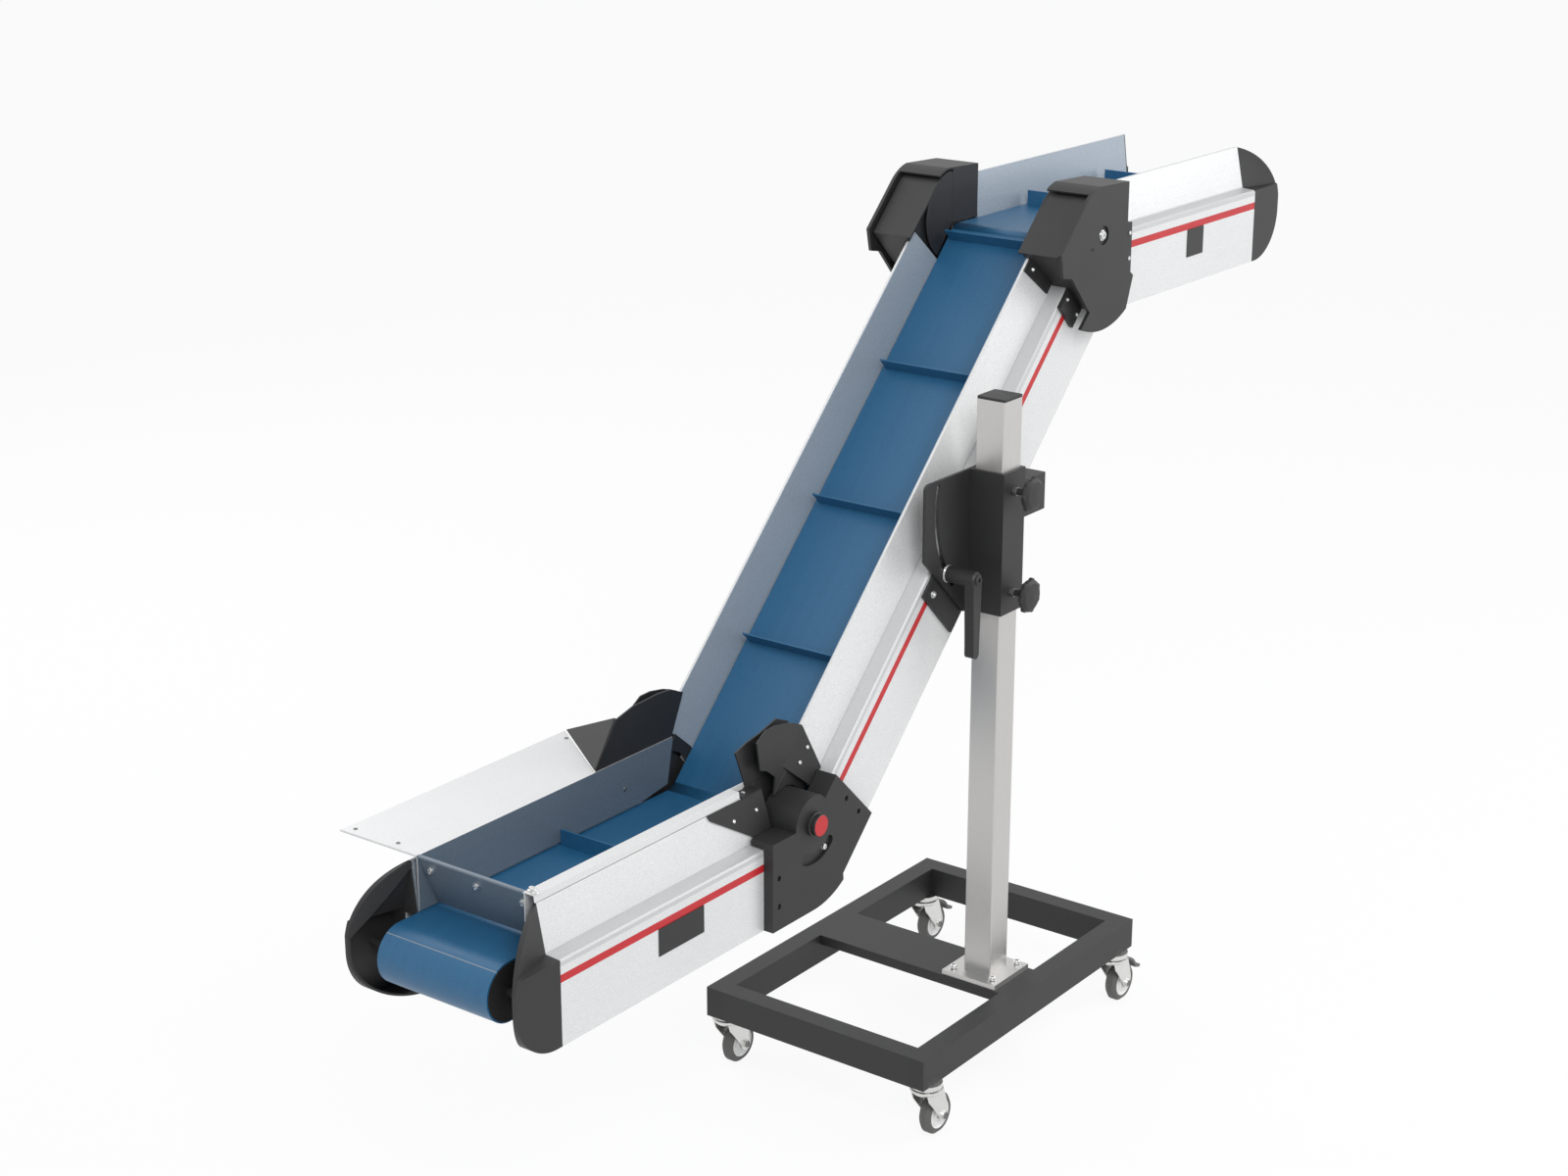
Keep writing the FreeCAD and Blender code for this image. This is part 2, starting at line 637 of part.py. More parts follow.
def side_stripe(name, section, start, end):
    return lengthwise(name, section, [[(-half_outer, stripe_low), (-groove, stripe_low),
                                       (-groove, stripe_high), (-half_outer, stripe_high)]], start, end)


SPANS = (("infeed", INFEED, -infeed_length, -lower_clear),
         ("incline", INCLINE, lower_clear, incline_length - upper_clear),
         ("discharge", DISCHARGE, upper_clear, discharge_length))
for name, section, start, end in SPANS:
    both_sides(name + "_sides", side_profile(name + "_side", section, start, end))
    both_sides(name + "_stripes", side_stripe(name + "_stripe", section, start, end))

# Slider bed under the belt and square bars that tie the two sides together
rise_low = belt_top - 2 * (drum_radius + belt_thick) - bed_thick
RUNNERS = {name: (start, end) for name, section, start, end in SPANS}
BEDS = (("infeed", INFEED, -infeed_length, -40, (-520, -160)),
        ("incline", INCLINE, 40, incline_length - 40, (170, 617, 1065)),
        ("discharge", DISCHARGE, 40, discharge_length, (160, 540)))
for name, section, start, end, bars in BEDS:
    pieces = [across(name + "_slider", section, [[
        (start, rise(belt_top - belt_thick - bed_thick)), (end, rise(belt_top - belt_thick - bed_thick)),
        (end, rise(belt_top - belt_thick)), (start, rise(belt_top - belt_thick))]],
        half_lip, -half_lip)]
    for index, along in enumerate(bars):
        pieces.append(across("%s_bar%d" % (name, index), section, [[
            (along, rise(bar_height)), (along + bar_side, rise(bar_height)),
            (along + bar_side, rise(bar_height + bar_side)), (along, rise(bar_height + bar_side))]],
            half_box, -half_box))
    runner = lengthwise(name + "_runner", section, [[
        (-half_box, rise_low), (6 - belt_half, rise_low), (6 - belt_half, rise_low + bed_thick),
        (bed_thick - half_box, rise_low + bed_thick), (bed_thick - half_box, rise_low + 14),
        (-half_box, rise_low + 14)]], *RUNNERS[name])
    node(name + "_bed", pieces + [runner, mirrored(runner)])

# Cleated belt: a loop over an end drum in the level sections, two strands in the incline
belt_out = drum_radius + belt_thick
drum_height = belt_top - belt_out


def strand(name, section, start, end, low):
    return across(name, section, [[(start, rise(low)), (end, rise(low)), (end, rise(low + belt_thick)),
                                   (start, rise(low + belt_thick))]], belt_half, -belt_half)


def cleat(name, section, along, low):
    return across(name, section, [[(along, rise(low)), (along + cleat_thick, rise(low)),
                                   (along + cleat_thick, rise(low + cleat_height)), (along, rise(low + cleat_height))]],
                  belt_half - 8, 8 - belt_half)


def end_loop(name, section, drum_at, stop_top, stop_low, way):
    """Belt over an end drum; way is +1 where the drum lies beyond the section's far end."""
    return_top = belt_top - 2 * belt_out + belt_thick
    out = belt_out * way
    rim = drum_radius * way
    return across(name, section, [[
        (stop_top, rise(belt_top)), (drum_at, rise(belt_top), -1 * out), (drum_at + out, rise(drum_height), -1 * out),
        (drum_at, rise(drum_height - belt_out)), (stop_low, rise(drum_height - belt_out)),
        (stop_low, rise(return_top)), (drum_at, rise(return_top), rim), (drum_at + rim, rise(drum_height), rim),
        (drum_at, rise(belt_top - belt_thick)), (stop_top, rise(belt_top - belt_thick))]],
        belt_half, -belt_half)


infeed_drum_at = -infeed_length - drum_beyond
discharge_drum_at = discharge_length + drum_beyond
return_low = belt_top - 2 * belt_out
cleat_return = return_low - cleat_height
infeed_pieces = [end_loop("infeed_loop", INFEED, infeed_drum_at, -6, -6, -1)]
for name, share, low in (("infeed_cleat", 0.475, belt_top), ("infeed_cleat_low1", 0.43, cleat_return),
                         ("infeed_cleat_low2", 0.9, cleat_return)):
    infeed_pieces.append(cleat(name, INFEED, -infeed_length * share, low))
node("infeed_belt", [fuse("infeed_belt_solid", infeed_pieces)])

top_pieces = [strand("incline_top", INCLINE, 6, incline_length - 20, belt_top - belt_thick)]
low_pieces = [strand("incline_low", INCLINE, 20, incline_length - 70, return_low)]
for index in (1, 2, 3, 4):
    top_pieces.append(cleat("incline_cleat%d" % index, INCLINE, cleat_pitch * index, belt_top))
    if index < 4:
        low_pieces.append(cleat("incline_cleat_low%d" % index, INCLINE, cleat_pitch * index - 80, cleat_return))
node("incline_belt", [fuse("incline_belt_top", top_pieces), fuse("incline_belt_low", low_pieces)])

discharge_pieces = [end_loop("discharge_loop", DISCHARGE, discharge_drum_at, 20, 70, 1)]
for index in (1, 2):
    along = cleat_pitch * (index + 4) - incline_length
    discharge_pieces.append(cleat("discharge_cleat%d" % index, DISCHARGE, along, belt_top))
    discharge_pieces.append(cleat("discharge_cleat_low%d" % index, DISCHARGE, along + 60, cleat_return))
node("discharge_belt", [fuse("discharge_belt_solid", discharge_pieces)])


def end_drum(name, section, drum_at):
    roller_face = belt_half + 1
    shaft_face = half_outer - skin
    x, z = world_point(section, drum_at, rise(drum_height))
    return turned(name, [
        (0, 0), (shaft_radius, 0), (shaft_radius, shaft_face - roller_face), (drum_radius, shaft_face - roller_face),
        (drum_radius, shaft_face + roller_face), (shaft_radius, shaft_face + roller_face),
        (shaft_radius, 2 * shaft_face), (0, 2 * shaft_face)],
        x, conveyor_offset + shaft_face, z, 90)


node("infeed_drum", [end_drum("infeed_roller", INFEED, infeed_drum_at)])
node("discharge_drum", [end_drum("discharge_roller", DISCHARGE, discharge_drum_at)])


# End caps: the profile's form carried on round the drum; the inner side slants outwards to the rounded front
def tapered(name, section, face_outline, front_outline, face_at, front_at):
    """Solid between two cross outlines (half width, height) of the near side, ruled from face to front."""
    sections = []
    for label, outline, along in (("face", face_outline, face_at), ("front", front_outline, front_at)):
        sketch = doc.addObject("Sketcher::SketchObject", "%s_%s" % (name, label))
        draw_loop(sketch, outline)
        x, z = world_point(section, along, -hinge_height)
        place(sketch, x, conveyor_offset, z, 120, (1, 1, 1))
        sections.append(sketch)
    loft = doc.addObject("Part::Loft", name)
    loft.Sections = sections
    loft.Solid = True
    loft.Ruled = True
    return loft


cap_form_face = [
    (-half_outer, 0), (-half_lip, 0), (-half_lip, lip_height), (-half_bend, bend_height),
    (-half_top_in, board_height), (-half_top_out, board_height), (-half_ledge, box_height + 2),
    (-half_outer, box_height)]
cap_form_front = [
    (-half_outer, 0), (4 - half_outer, 0), (4 - half_outer, lip_height), (4 - half_outer, bend_height),
    (4 - half_outer, board_height), (0.1 - half_outer, board_height), (0.1 - half_outer, box_height + 2),
    (-half_outer, box_height)]
cap_space_face = [
    (skin - half_outer, -1), (20 - half_lip, -1), (20 - half_lip, board_height - skin),
    (-half_top_in - 2, board_height - skin), (skin - half_ledge, box_height - skin + 2),
    (skin - half_outer, box_height - skin)]
cap_space_front = [
    (skin - half_outer, -1), (20 - half_outer, -1), (20 - half_outer, board_height - skin),
    (skin - half_outer + 0.1, board_height - skin), (skin - half_outer + 0.1, box_height - skin + 2),
    (skin - half_outer, box_height - skin)]


def end_cap(name, section, face_at, way):
    reach = cap_reach * way
    out = cap_radius * way
    front_at = face_at + reach + out + 4 * way
    outline = [
        (face_at, rise(0)), (face_at + reach, rise(0), out), (face_at + reach + out, rise(cap_radius)),
        (face_at + reach + out, rise(cap_radius + 30), 1.55 * out), (face_at, rise(board_height))]
    thin = skin * way
    hollow_side = [
        (face_at - way, rise(skin)), (face_at + reach, rise(skin), out - thin),
        (face_at + reach + out - thin, rise(cap_radius)),
        (face_at + reach + out - thin, rise(cap_radius + 26)), (face_at - way, rise(board_height - 2 * skin))]
    solid = common(name + "_solid", [
        tapered(name + "_form", section, cap_form_face, cap_form_front, face_at, front_at),
        across(name + "_round", section, [outline], half_outer + 1, half_lip - 20)])
    hollow = common(name + "_space", [
        tapered(name + "_core", section, cap_space_face, cap_space_front, face_at - way, front_at + way),
        across(name + "_side", section, [hollow_side], half_outer + 1, half_lip - 22)])
    return cut(name, solid, hollow)


both_sides("infeed_caps", end_cap("infeed_cap", INFEED, -infeed_length, -1))
near_cap = end_cap("discharge_cap", DISCHARGE, discharge_length, 1)
low_part = common("discharge_cap_low", [near_cap, across("discharge_cap_limit", DISCHARGE, [[
    (discharge_length, rise(0)), (discharge_length + 120, rise(0)), (discharge_length + 120, rise(box_height)),
    (discharge_length, rise(box_height))]], half_outer + 1, half_lip - 1)])
board_end = lengthwise("discharge_board_end", DISCHARGE, [[
    (-half_ledge, box_height - 1), (-half_lip, box_height - 1), (-half_bend, bend_height),
    (-half_top_in, board_height), (-half_top_out, board_height)]], discharge_length, discharge_length + plug_thick)
node("discharge_caps", [near_cap, mirrored(fuse("discharge_cap_far", [low_part, board_end]))])


# Lower knee: the infeed half is an outer plate with a boss and an arc slot, the incline half a plate behind it
near_plate = half_outer + plate_back + layer_gap + plate_low
fan_near = near_plate - plate_low
incline_near = fan_near - layer_gap
slot_from_low, slot_to_low = degrees(-46), degrees(-112)
slot_wide = knee_slot + knee_slot_width / 2
slot_tight = knee_slot - knee_slot_width / 2
slot_round = knee_slot_width / 2
slot_high_end = about(0, 0, knee_slot, slot_from_low)
slot_low_end = about(0, 0, knee_slot, slot_to_low)
knee_slot_loop = [
    about(0, 0, slot_wide, slot_from_low) + (-slot_wide,),
    about(0, 0, slot_wide, slot_to_low) + (-slot_round,),
    (slot_low_end[0] + slot_round * sin(slot_to_low), slot_low_end[1] - slot_round * cos(slot_to_low), -slot_round),
    about(0, 0, slot_tight, slot_to_low) + (slot_tight,),
    about(0, 0, slot_tight, slot_from_low) + (-slot_round,),
    (slot_high_end[0] - slot_round * sin(slot_from_low), slot_high_end[1] + slot_round * cos(slot_from_low),
     -slot_round)]
fan_holes = [(-knee_reach + 18, rise(97), 5), (-knee_reach + 18, rise(44), 5)]
infeed_fan = across("knee_fan", INFEED, [[
    (-knee_reach, rise(0)), (0, rise(0), hinge_height), about(0, 0, hinge_height, degrees(-57)),
    (88, -121), (74, -82), (58, -21), (36, 20), (21, 40),
    about(0, 0, boss_radius, degrees(72)) + (boss_radius,), (-boss_radius, 0), (-knee_reach, 0)],
    knee_slot_loop], near_plate, fan_near, fan_holes)
infeed_boss = across("knee_boss", INFEED, [], fan_near, boss_end, [(0, 0, boss_radius)])
infeed_rim = across("knee_rim", INFEED, [[
    (-knee_reach, rise(0)), (-knee_reach + plate_low, rise(0)), (-knee_reach + plate_low, 0),
    (-knee_reach, 0)]], fan_near, half_outer)
infeed_shelf = across("knee_shelf", INFEED, [[
    (-knee_reach, rise(box_height + 3)), (4 - boss_radius, rise(box_height + 3)), (4 - boss_radius, 0),
    (-knee_reach, 0)]], fan_near, half_ledge + visor_thick)
both_sides("lower_knee_infeed", fuse("lower_knee_infeed_solid", [infeed_fan, infeed_boss, infeed_rim, infeed_shelf]))

boss_hole = boss_radius + boss_gap
hole_low = about(0, 0, boss_hole, degrees(-175))
behind_slot = about(0, 0, slot_wide + 8, degrees(-172))
back_round = hinge_height - 4
back_low = about(0, 0, back_round, degrees(-125))
incline_plate = across("knee_plate", INCLINE, [[
    (-21, rise(4)), (back_reach, rise(4)), (back_reach, rise(shelf_high)), (boss_hole, rise(shelf_high)),
    (boss_hole, -8), about(0, 0, boss_hole, degrees(-10)) + (-boss_hole,), hole_low, behind_slot,
    back_low + (back_round,)]],
    incline_near, half_outer, [(back_reach - 17, rise(98), 5), (back_reach - 17, rise(45), 5)])
incline_shelf = across("knee_plate_shelf", INCLINE, [[
    (boss_hole + 3, rise(box_height + 3)), (back_reach, rise(box_height + 3)), (back_reach, rise(shelf_high)),
    (boss_hole + 3, rise(shelf_high))]], half_outer, half_ledge + visor_thick)
both_sides("lower_knee_incline", fuse("lower_knee_incline_solid", [incline_plate, incline_shelf]))

hinge_cap_x, hinge_cap_z = world_point(INFEED, 0, 0)
hinge_cap = turned("hinge_cap_near", [(0, 0), (22, 0), (22, 5), (20, 6), (20, 15), (18, 17), (0, 17)],
                   hinge_cap_x, conveyor_offset - near_plate, hinge_cap_z, 90)
both_sides("hinge_caps", hinge_cap)

# Visors over the lower knee: sheets that pass each other as the knee bends, flanged to the leaning boards
board_top = rise(board_height)
liner_high = rise(liner_top)
leaning_strip = [
    (-half_ledge, box_height + 2), (-half_top_out, board_height), (-half_top_out - visor_thick, board_height),
    (-half_ledge - visor_thick, box_height + 2)]


def board_flange(name, section, start, end, outline):
    """Flat flange on the outer leaning face of a board, cut to a side outline."""
    strip = lengthwise(name + "_strip", section, [leaning_strip], start, end)
    return common(name, [strip, across(name + "_outline", section, [outline], half_ledge + 20, half_bend)])


infeed_flange = board_flange("infeed_flange", INFEED, -220, -50, [
    (-216, board_top), (-66, board_top), (-56, rise(155)), (-92, rise(155)), (-210, rise(225))])
infeed_bridge = across("infeed_bridge", INFEED, [[
    (-120, board_top), (-66, board_top), (-66, board_top + visor_thick), (-120, board_top + visor_thick)]],
    half_top_out + visor_thick, liner_half + sheet_thick)
infeed_near_fan = across("infeed_near_fan", INFEED, [[
    (-90, board_top), (-66, board_top), (-60, 78), (3, 78), (40, 159), (5, 174), (-47, 161), (-80, 156),
    (-112, 147), (-84, 77)]], liner_half + sheet_thick + visor_thick, liner_half + sheet_thick)
infeed_far_fan = across("infeed_far_fan", INFEED, [[
    (-202, board_top), (-66, board_top), (-60, 78), (3, 78), (40, 159), (5, 174), (-29, 177), (-100, 174),
    (-147, 163), (-202, 82)]], -liner_half - sheet_thick, -liner_half - sheet_thick - visor_thick)
wing = pad("wing", "XY", [[(0, 0), (205, 0), (37, 92)]], visor_thick)
place(wing, 0, 0, 0, 121, (1, 0, 0))
wing_turned = doc.addObject("Part::Compound", "wing_turned")
wing_turned.Links = [wing]
place(wing_turned, lower_knee_x - 205, conveyor_offset + liner_half + sheet_thick + visor_thick / 2,
      lower_knee_z + liner_high + visor_thick, 55, (0, 0, 1))
flange_and_bridge = fuse("infeed_flange_and_bridge", [infeed_flange, infeed_bridge])
node("infeed_visors", [fuse("infeed_visor_near", [flange_and_bridge, infeed_near_fan]),
                       fuse("infeed_visor_far", [mirrored(flange_and_bridge), infeed_far_fan, wing_turned])])
incline_flange = board_flange("incline_flange", INCLINE, 56, 150, [
    (62, board_top), (144, board_top), (108, rise(153)), (68, rise(153))])
incline_fan = across("incline_fan", INCLINE, [[
    (144, board_top), (144, 74), (137, 92), (127, 112), (106, 142), (86, 161), (57, 168), (26, 124), (34, 107),
    (38, 75), (12, 57), (68, 57), (68, board_top)]], half_top_out + visor_thick, half_top_out)
both_sides("incline_visors", fuse("incline_visor", [incline_flange, incline_fan]))

# Upper knee: a moulded cover whose outer plate turns over the incline's half
cover_near = half_outer + 35
cover_plate = 7
top_rise = size("top_rise", 90, "level top of the upper cover above the knee axis")
slope_rise = size("slope_rise", 96, "sloping top of the upper cover above the knee axis")
hub_radius = size("hub_radius", 18, "pivot hub of the upper knee")
chin = size("chin", 183, "chin of the upper cover about the knee axis")
cover_reach = size("cover_reach", 89, "upper cover from the knee axis")
tab_reach = size("tab_reach", 106, "screwed edge of the upper cover from the knee axis")
slope_reach = size("slope_reach", 117, "upper cover down along the incline")
crest_start = about(0, 0, slope_rise, degrees(100))
slope_top = about(0, 0, slope_rise, tilt + 90)
slope_low = (slope_top[0] - slope_reach * cos(tilt), slope_top[1] - slope_reach * sin(tilt))
cover_face = across("cover_face", DISCHARGE, [[
    (cover_reach, top_rise), crest_start + (slope_rise,), slope_top, slope_low,
    (slope_low[0] + 9, slope_low[1] - 44), (slope_low[0] + 40, slope_low[1] - 50),
    (-42, rise(24)), about(0, 0, chin, degrees(247)) + (chin,),
    about(0, 0, chin, degrees(301)), (tab_reach + 11, rise(70)), (tab_reach, rise(78)), (tab_reach, rise(175)),
    (cover_reach, rise(177))]], cover_near, cover_near - cover_plate, [(0, 0, hub_radius + running_gap)])
cover_top = across("cover_top", DISCHARGE, [[
    (cover_reach, top_rise - skin), (cover_reach, top_rise), crest_start + (slope_rise,),
    about(0, 0, slope_rise, degrees(120)), about(0, 0, slope_rise - skin, degrees(120)) + (skin - slope_rise,),
    about(0, 0, slope_rise - skin, degrees(100))]], cover_near - cover_plate, half_lip)
cover_end = across("cover_end", DISCHARGE, [[
    (cover_reach - skin, rise(box_height + 3)), (cover_reach, rise(box_height + 3)), (cover_reach, top_rise),
    (cover_reach - skin, top_rise)]], cover_near - cover_plate, half_ledge)
cover_cheek = across("cover_cheek", DISCHARGE, [[
    (0, rise(belt_top + 2)), (cover_reach, rise(belt_top + 2)), (cover_reach, top_rise), (0, top_rise)]],
    half_lip + skin, half_lip)
cover_root = across("cover_root", DISCHARGE, [[
    (upper_clear + 2, rise(5)), (tab_reach, rise(5)), (tab_reach, rise(box_height)),
    (upper_clear + 2, rise(box_height))]], cover_near - cover_plate, half_outer)
both_sides("upper_knee_discharge", fuse("upper_knee_discharge_solid",
                                        [cover_face, cover_top, cover_end, cover_cheek, cover_root]))

under_top = slope_rise - skin - 5
hood_near = cover_near - cover_plate - 5
hood_bend = under_top - skin
incline_hood = across("incline_hood", UPPER, [[
    (-slope_reach, hood_bend), (0, hood_bend, -1 * hood_bend), about(0, 0, hood_bend, degrees(70)),
    about(0, 0, under_top, degrees(70)) + (under_top,), (0, under_top), (-slope_reach, under_top)]],
    hood_near, half_lip)
hood_cheek = across("hood_cheek", UPPER, [[
    (-upper_clear + 1, rise(box_height + 3)), (0, rise(box_height + 3)), (0, under_top - 1),
    (-upper_clear + 1, under_top - 1)]], half_lip + 3 * skin + 1, half_lip + 2 * skin + 1)
hood_end = across("hood_end", UPPER, [[
    (-slope_reach, rise(box_height + 3)), (-slope_reach + skin, rise(box_height + 3)),
    (-slope_reach + skin, under_top), (-slope_reach, under_top)]], hood_near, half_ledge)
hood_foot = across("hood_foot", UPPER, [[
    (-slope_reach - 44, rise(85)), (-slope_reach, rise(85)), (-slope_reach, rise(box_height)),
    (-slope_reach - 44, rise(box_height))]], half_outer + 8, half_outer)
hood_flange = board_flange("hood_flange", UPPER, -slope_reach - 30, -slope_reach + 1, [
    (-slope_reach - 27, board_top), (-slope_reach - 23, rise(158)), (-slope_reach + 1, rise(158)),
    (-slope_reach + 1, board_top)])
hood_side = across("hood_side", UPPER, [[
    (-slope_reach, rise(85)), (-slope_reach + 30, rise(85)), (-slope_reach + 30, under_top),
    (-slope_reach, under_top)]], hood_near, half_outer)
hub_plate = across("hub_plate", UPPER, [[
    (-slope_reach, -40), (0, -40, 40), (40, 0, 40), (0, 40), (-slope_reach, 40)]], hood_near, half_outer + 2)
hub = across("hub", UPPER, [], cover_near - 4, hood_near, [(0, 0, hub_radius)])
both_sides("upper_knee_incline", fuse("upper_knee_incline_solid", [
    incline_hood, hood_cheek, hood_end, hood_foot, hood_flange, hood_side, hub_plate, hub]))

# Hopper: thin sheets inside the infeed walls, a wide level flange on the far side, a sloping front
liner_low = rise(belt_top + 4)
liner_start = -infeed_length - 3
liner = [(liner_start, liner_low), (-86, liner_low), (-10, -2), (6, 78), (6, liner_high), (liner_start, liner_high)]
near_liner = across("liner_near", INFEED, [liner], liner_half + sheet_thick, liner_half)
far_liner = across("liner_far", INFEED, [liner], -liner_half, -liner_half - sheet_thick)
level_flange = pad("level_flange", "XY", [[
    (liner_start - 2, 0), (-207, 0), (-87, flange_reach), (liner_start - 2, flange_reach)]], sheet_thick)
place(level_flange, lower_knee_x, conveyor_offset + liner_half, lower_knee_z + liner_high - sheet_thick)
front_sheet = across("front_sheet", INFEED, [[
    (liner_start, liner_high), (liner_start + 42, liner_low), (liner_start + 44, liner_low),
    (liner_start + 2, liner_high)]], liner_half, -liner_half)
node("hopper", [fuse("hopper_solid", [near_liner, far_liner, level_flange, front_sheet])])

# Small covers on the near side, right under the coloured strip
cover_thick = size("cover_thick", 1.5, "small covers on the side box")
infeed_flap = across("infeed_flap", INFEED, [[
    (-402, rise(stripe_low - 49)), (-284, rise(stripe_low - 49)), (-284, rise(stripe_low)),
    (-402, rise(stripe_low))]], half_outer + cover_thick, half_outer)
discharge_flap = across("discharge_flap", DISCHARGE, [[
    (391, rise(stripe_low - 56)), (456, rise(stripe_low - 56)), (456, rise(stripe_low)),
    (391, rise(stripe_low))]], half_outer + cover_thick, half_outer)
node("infeed_cover", [infeed_flap])
node("discharge_cover", [discharge_flap])

doc.recompute()
faults = []
for obj in doc.Objects:
    if "Invalid" in obj.State or "Error" in obj.State:
        faults.append("%s: %s" % (obj.Name, obj.State))
os.makedirs("parts", exist_ok=True)
for obj in nodes:
    if obj.Shape.isNull() or not obj.Shape.isValid():
        faults.append("%s has no valid shape" % obj.Label)
        continue
    obj.Shape.exportStep("parts/%s.step" % obj.Label)
if faults:
    raise RuntimeError("; ".join(faults))
print("%d nodes written" % len(nodes))
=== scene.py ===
import bpy
import bmesh
import math
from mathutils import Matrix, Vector


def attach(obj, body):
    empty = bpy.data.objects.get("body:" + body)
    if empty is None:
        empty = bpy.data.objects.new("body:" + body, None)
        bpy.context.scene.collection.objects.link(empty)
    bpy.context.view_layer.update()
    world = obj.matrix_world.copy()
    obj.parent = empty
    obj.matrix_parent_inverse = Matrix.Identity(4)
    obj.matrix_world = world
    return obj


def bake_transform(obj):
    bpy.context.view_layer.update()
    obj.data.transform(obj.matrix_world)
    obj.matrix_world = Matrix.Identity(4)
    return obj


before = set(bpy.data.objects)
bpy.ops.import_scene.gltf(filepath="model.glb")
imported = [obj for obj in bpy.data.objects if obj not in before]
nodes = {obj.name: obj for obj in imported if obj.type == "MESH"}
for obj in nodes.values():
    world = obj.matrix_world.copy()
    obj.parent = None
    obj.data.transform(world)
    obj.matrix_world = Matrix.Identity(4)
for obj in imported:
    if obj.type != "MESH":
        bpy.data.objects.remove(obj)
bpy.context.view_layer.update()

# Studio: a plain white floor that runs out of sight and a soft white room, lit by a broad lamp high on the left of
# the camera, a weaker one on its right and one from behind the conveyor. The camera stands where the photograph's
# did, a little above the belt's upper end, and looks down along the conveyor from the infeed side.
camera_place = (-4.0267, -2.6771, 2.5441)
camera_heading, camera_dip = math.radians(36.909), math.radians(18.475)
camera_data = bpy.data.cameras.new("camera")
camera_data.sensor_width = 36.0
camera_data.lens = 62.33
camera = bpy.data.objects.new("camera", camera_data)
bpy.context.scene.collection.objects.link(camera)
ahead = Vector((math.cos(camera_heading) * math.cos(camera_dip), math.sin(camera_heading) * math.cos(camera_dip),
                -math.sin(camera_dip)))
camera.location = camera_place
camera.rotation_euler = ahead.to_track_quat("-Z", "Y").to_euler()
bpy.context.scene.camera = camera
bpy.context.scene.view_settings.view_transform = "Standard"


def lamp(name, place, target, side, power):
    """Square lamp of a side in metres and a power in watts, aimed at a point of the conveyor."""
    data = bpy.data.lights.new(name, "AREA")
    data.shape = "SQUARE"
    data.size = side
    data.energy = power
    thing = bpy.data.objects.new(name, data)
    thing.location = place
    thing.rotation_euler = (Vector(target) - Vector(place)).to_track_quat("-Z", "Y").to_euler()
    bpy.context.scene.collection.objects.link(thing)


lamp("key_lamp", (-3.2, -3.6, 4.6), (0, 0, 0.8), 2.6, 170)
lamp("fill_lamp", (3.4, -3.0, 3.0), (0, 0, 0.8), 3.0, 70)
lamp("back_lamp", (0.5, 4.2, 3.6), (0, 0, 1.0), 3.0, 70)


class Wire:
    """A value on its way between nodes, which can be reckoned with like a number."""

    def __init__(self, wiring, socket):
        self.wiring = wiring
        self.socket = socket

    def _reckon(self, operation, first, second):
        return self.wiring.add("ShaderNodeMath", {"operation": operation}, {0: first, 1: second})

    def __add__(self, other):
        return self._reckon("ADD", self, other)

    def __radd__(self, other):
        return self._reckon("ADD", other, self)

    def __sub__(self, other):
        return self._reckon("SUBTRACT", self, other)

    def __rsub__(self, other):
        return self._reckon("SUBTRACT", other, self)

    def __mul__(self, other):
        return self._reckon("MULTIPLY", self, other)

    def __rmul__(self, other):
        return self._reckon("MULTIPLY", other, self)

    def __pow__(self, other):
        return self._reckon("POWER", self, other)

    def over(self, edge):
        """1 where the value is above the edge, else 0."""
        return self._reckon("GREATER_THAN", self, edge)

    def at_least(self, other):
        """The larger of the two values."""
        return self._reckon("MAXIMUM", self, other)

    def clipped(self):
        """The value kept between 0 and 1."""
        return self.wiring.add("ShaderNodeClamp", {}, {0: self})

    def beside(self, output):
        """Another output of the node that the value comes from."""
        return Wire(self.wiring, self.socket.node.outputs[output])


class Wiring:
    """The nodes behind the room's light, the floor or one finish."""

    def __init__(self, tree):
        self.tree = tree

    def fill(self, socket, value):
        if isinstance(value, Wire):
            self.tree.links.new(value.socket, socket)
        else:
            socket.default_value = (*value, 1) if socket.type == "RGBA" else value

    def add(self, kind, settings, sockets, output=0):
        thing = self.tree.nodes.new(kind)
        for key, value in settings.items():
            setattr(thing, key, value)
        for key, value in sockets.items():
            self.fill(thing.inputs[key], value)
        return Wire(self, thing.outputs[output]) if thing.outputs else None


def seen_rays(wiring):
    """1 for rays that show the room itself: straight to the camera, off metal or through something clear."""
    straight = wiring.add("ShaderNodeLightPath", {}, {}, "Is Camera Ray")
    return straight.at_least(straight.beside("Is Glossy Ray")).at_least(straight.beside("Is Transmission Ray"))


world = bpy.data.worlds.new("room")
bpy.context.scene.world = world
world.use_nodes = True
world.node_tree.nodes.clear()
room = Wiring(world.node_tree)
room_light = room.add("ShaderNodeBackground", {}, {"Color": (0.97, 0.985, 1.0), "Strength": 0.62})
room_white = room.add("ShaderNodeBackground", {}, {"Color": (1, 1, 1), "Strength": 1.0})
room.add("ShaderNodeOutputWorld", {}, {
    "Surface": room.add("ShaderNodeMixShader", {}, {0: seen_rays(room), 1: room_light, 2: room_white})})

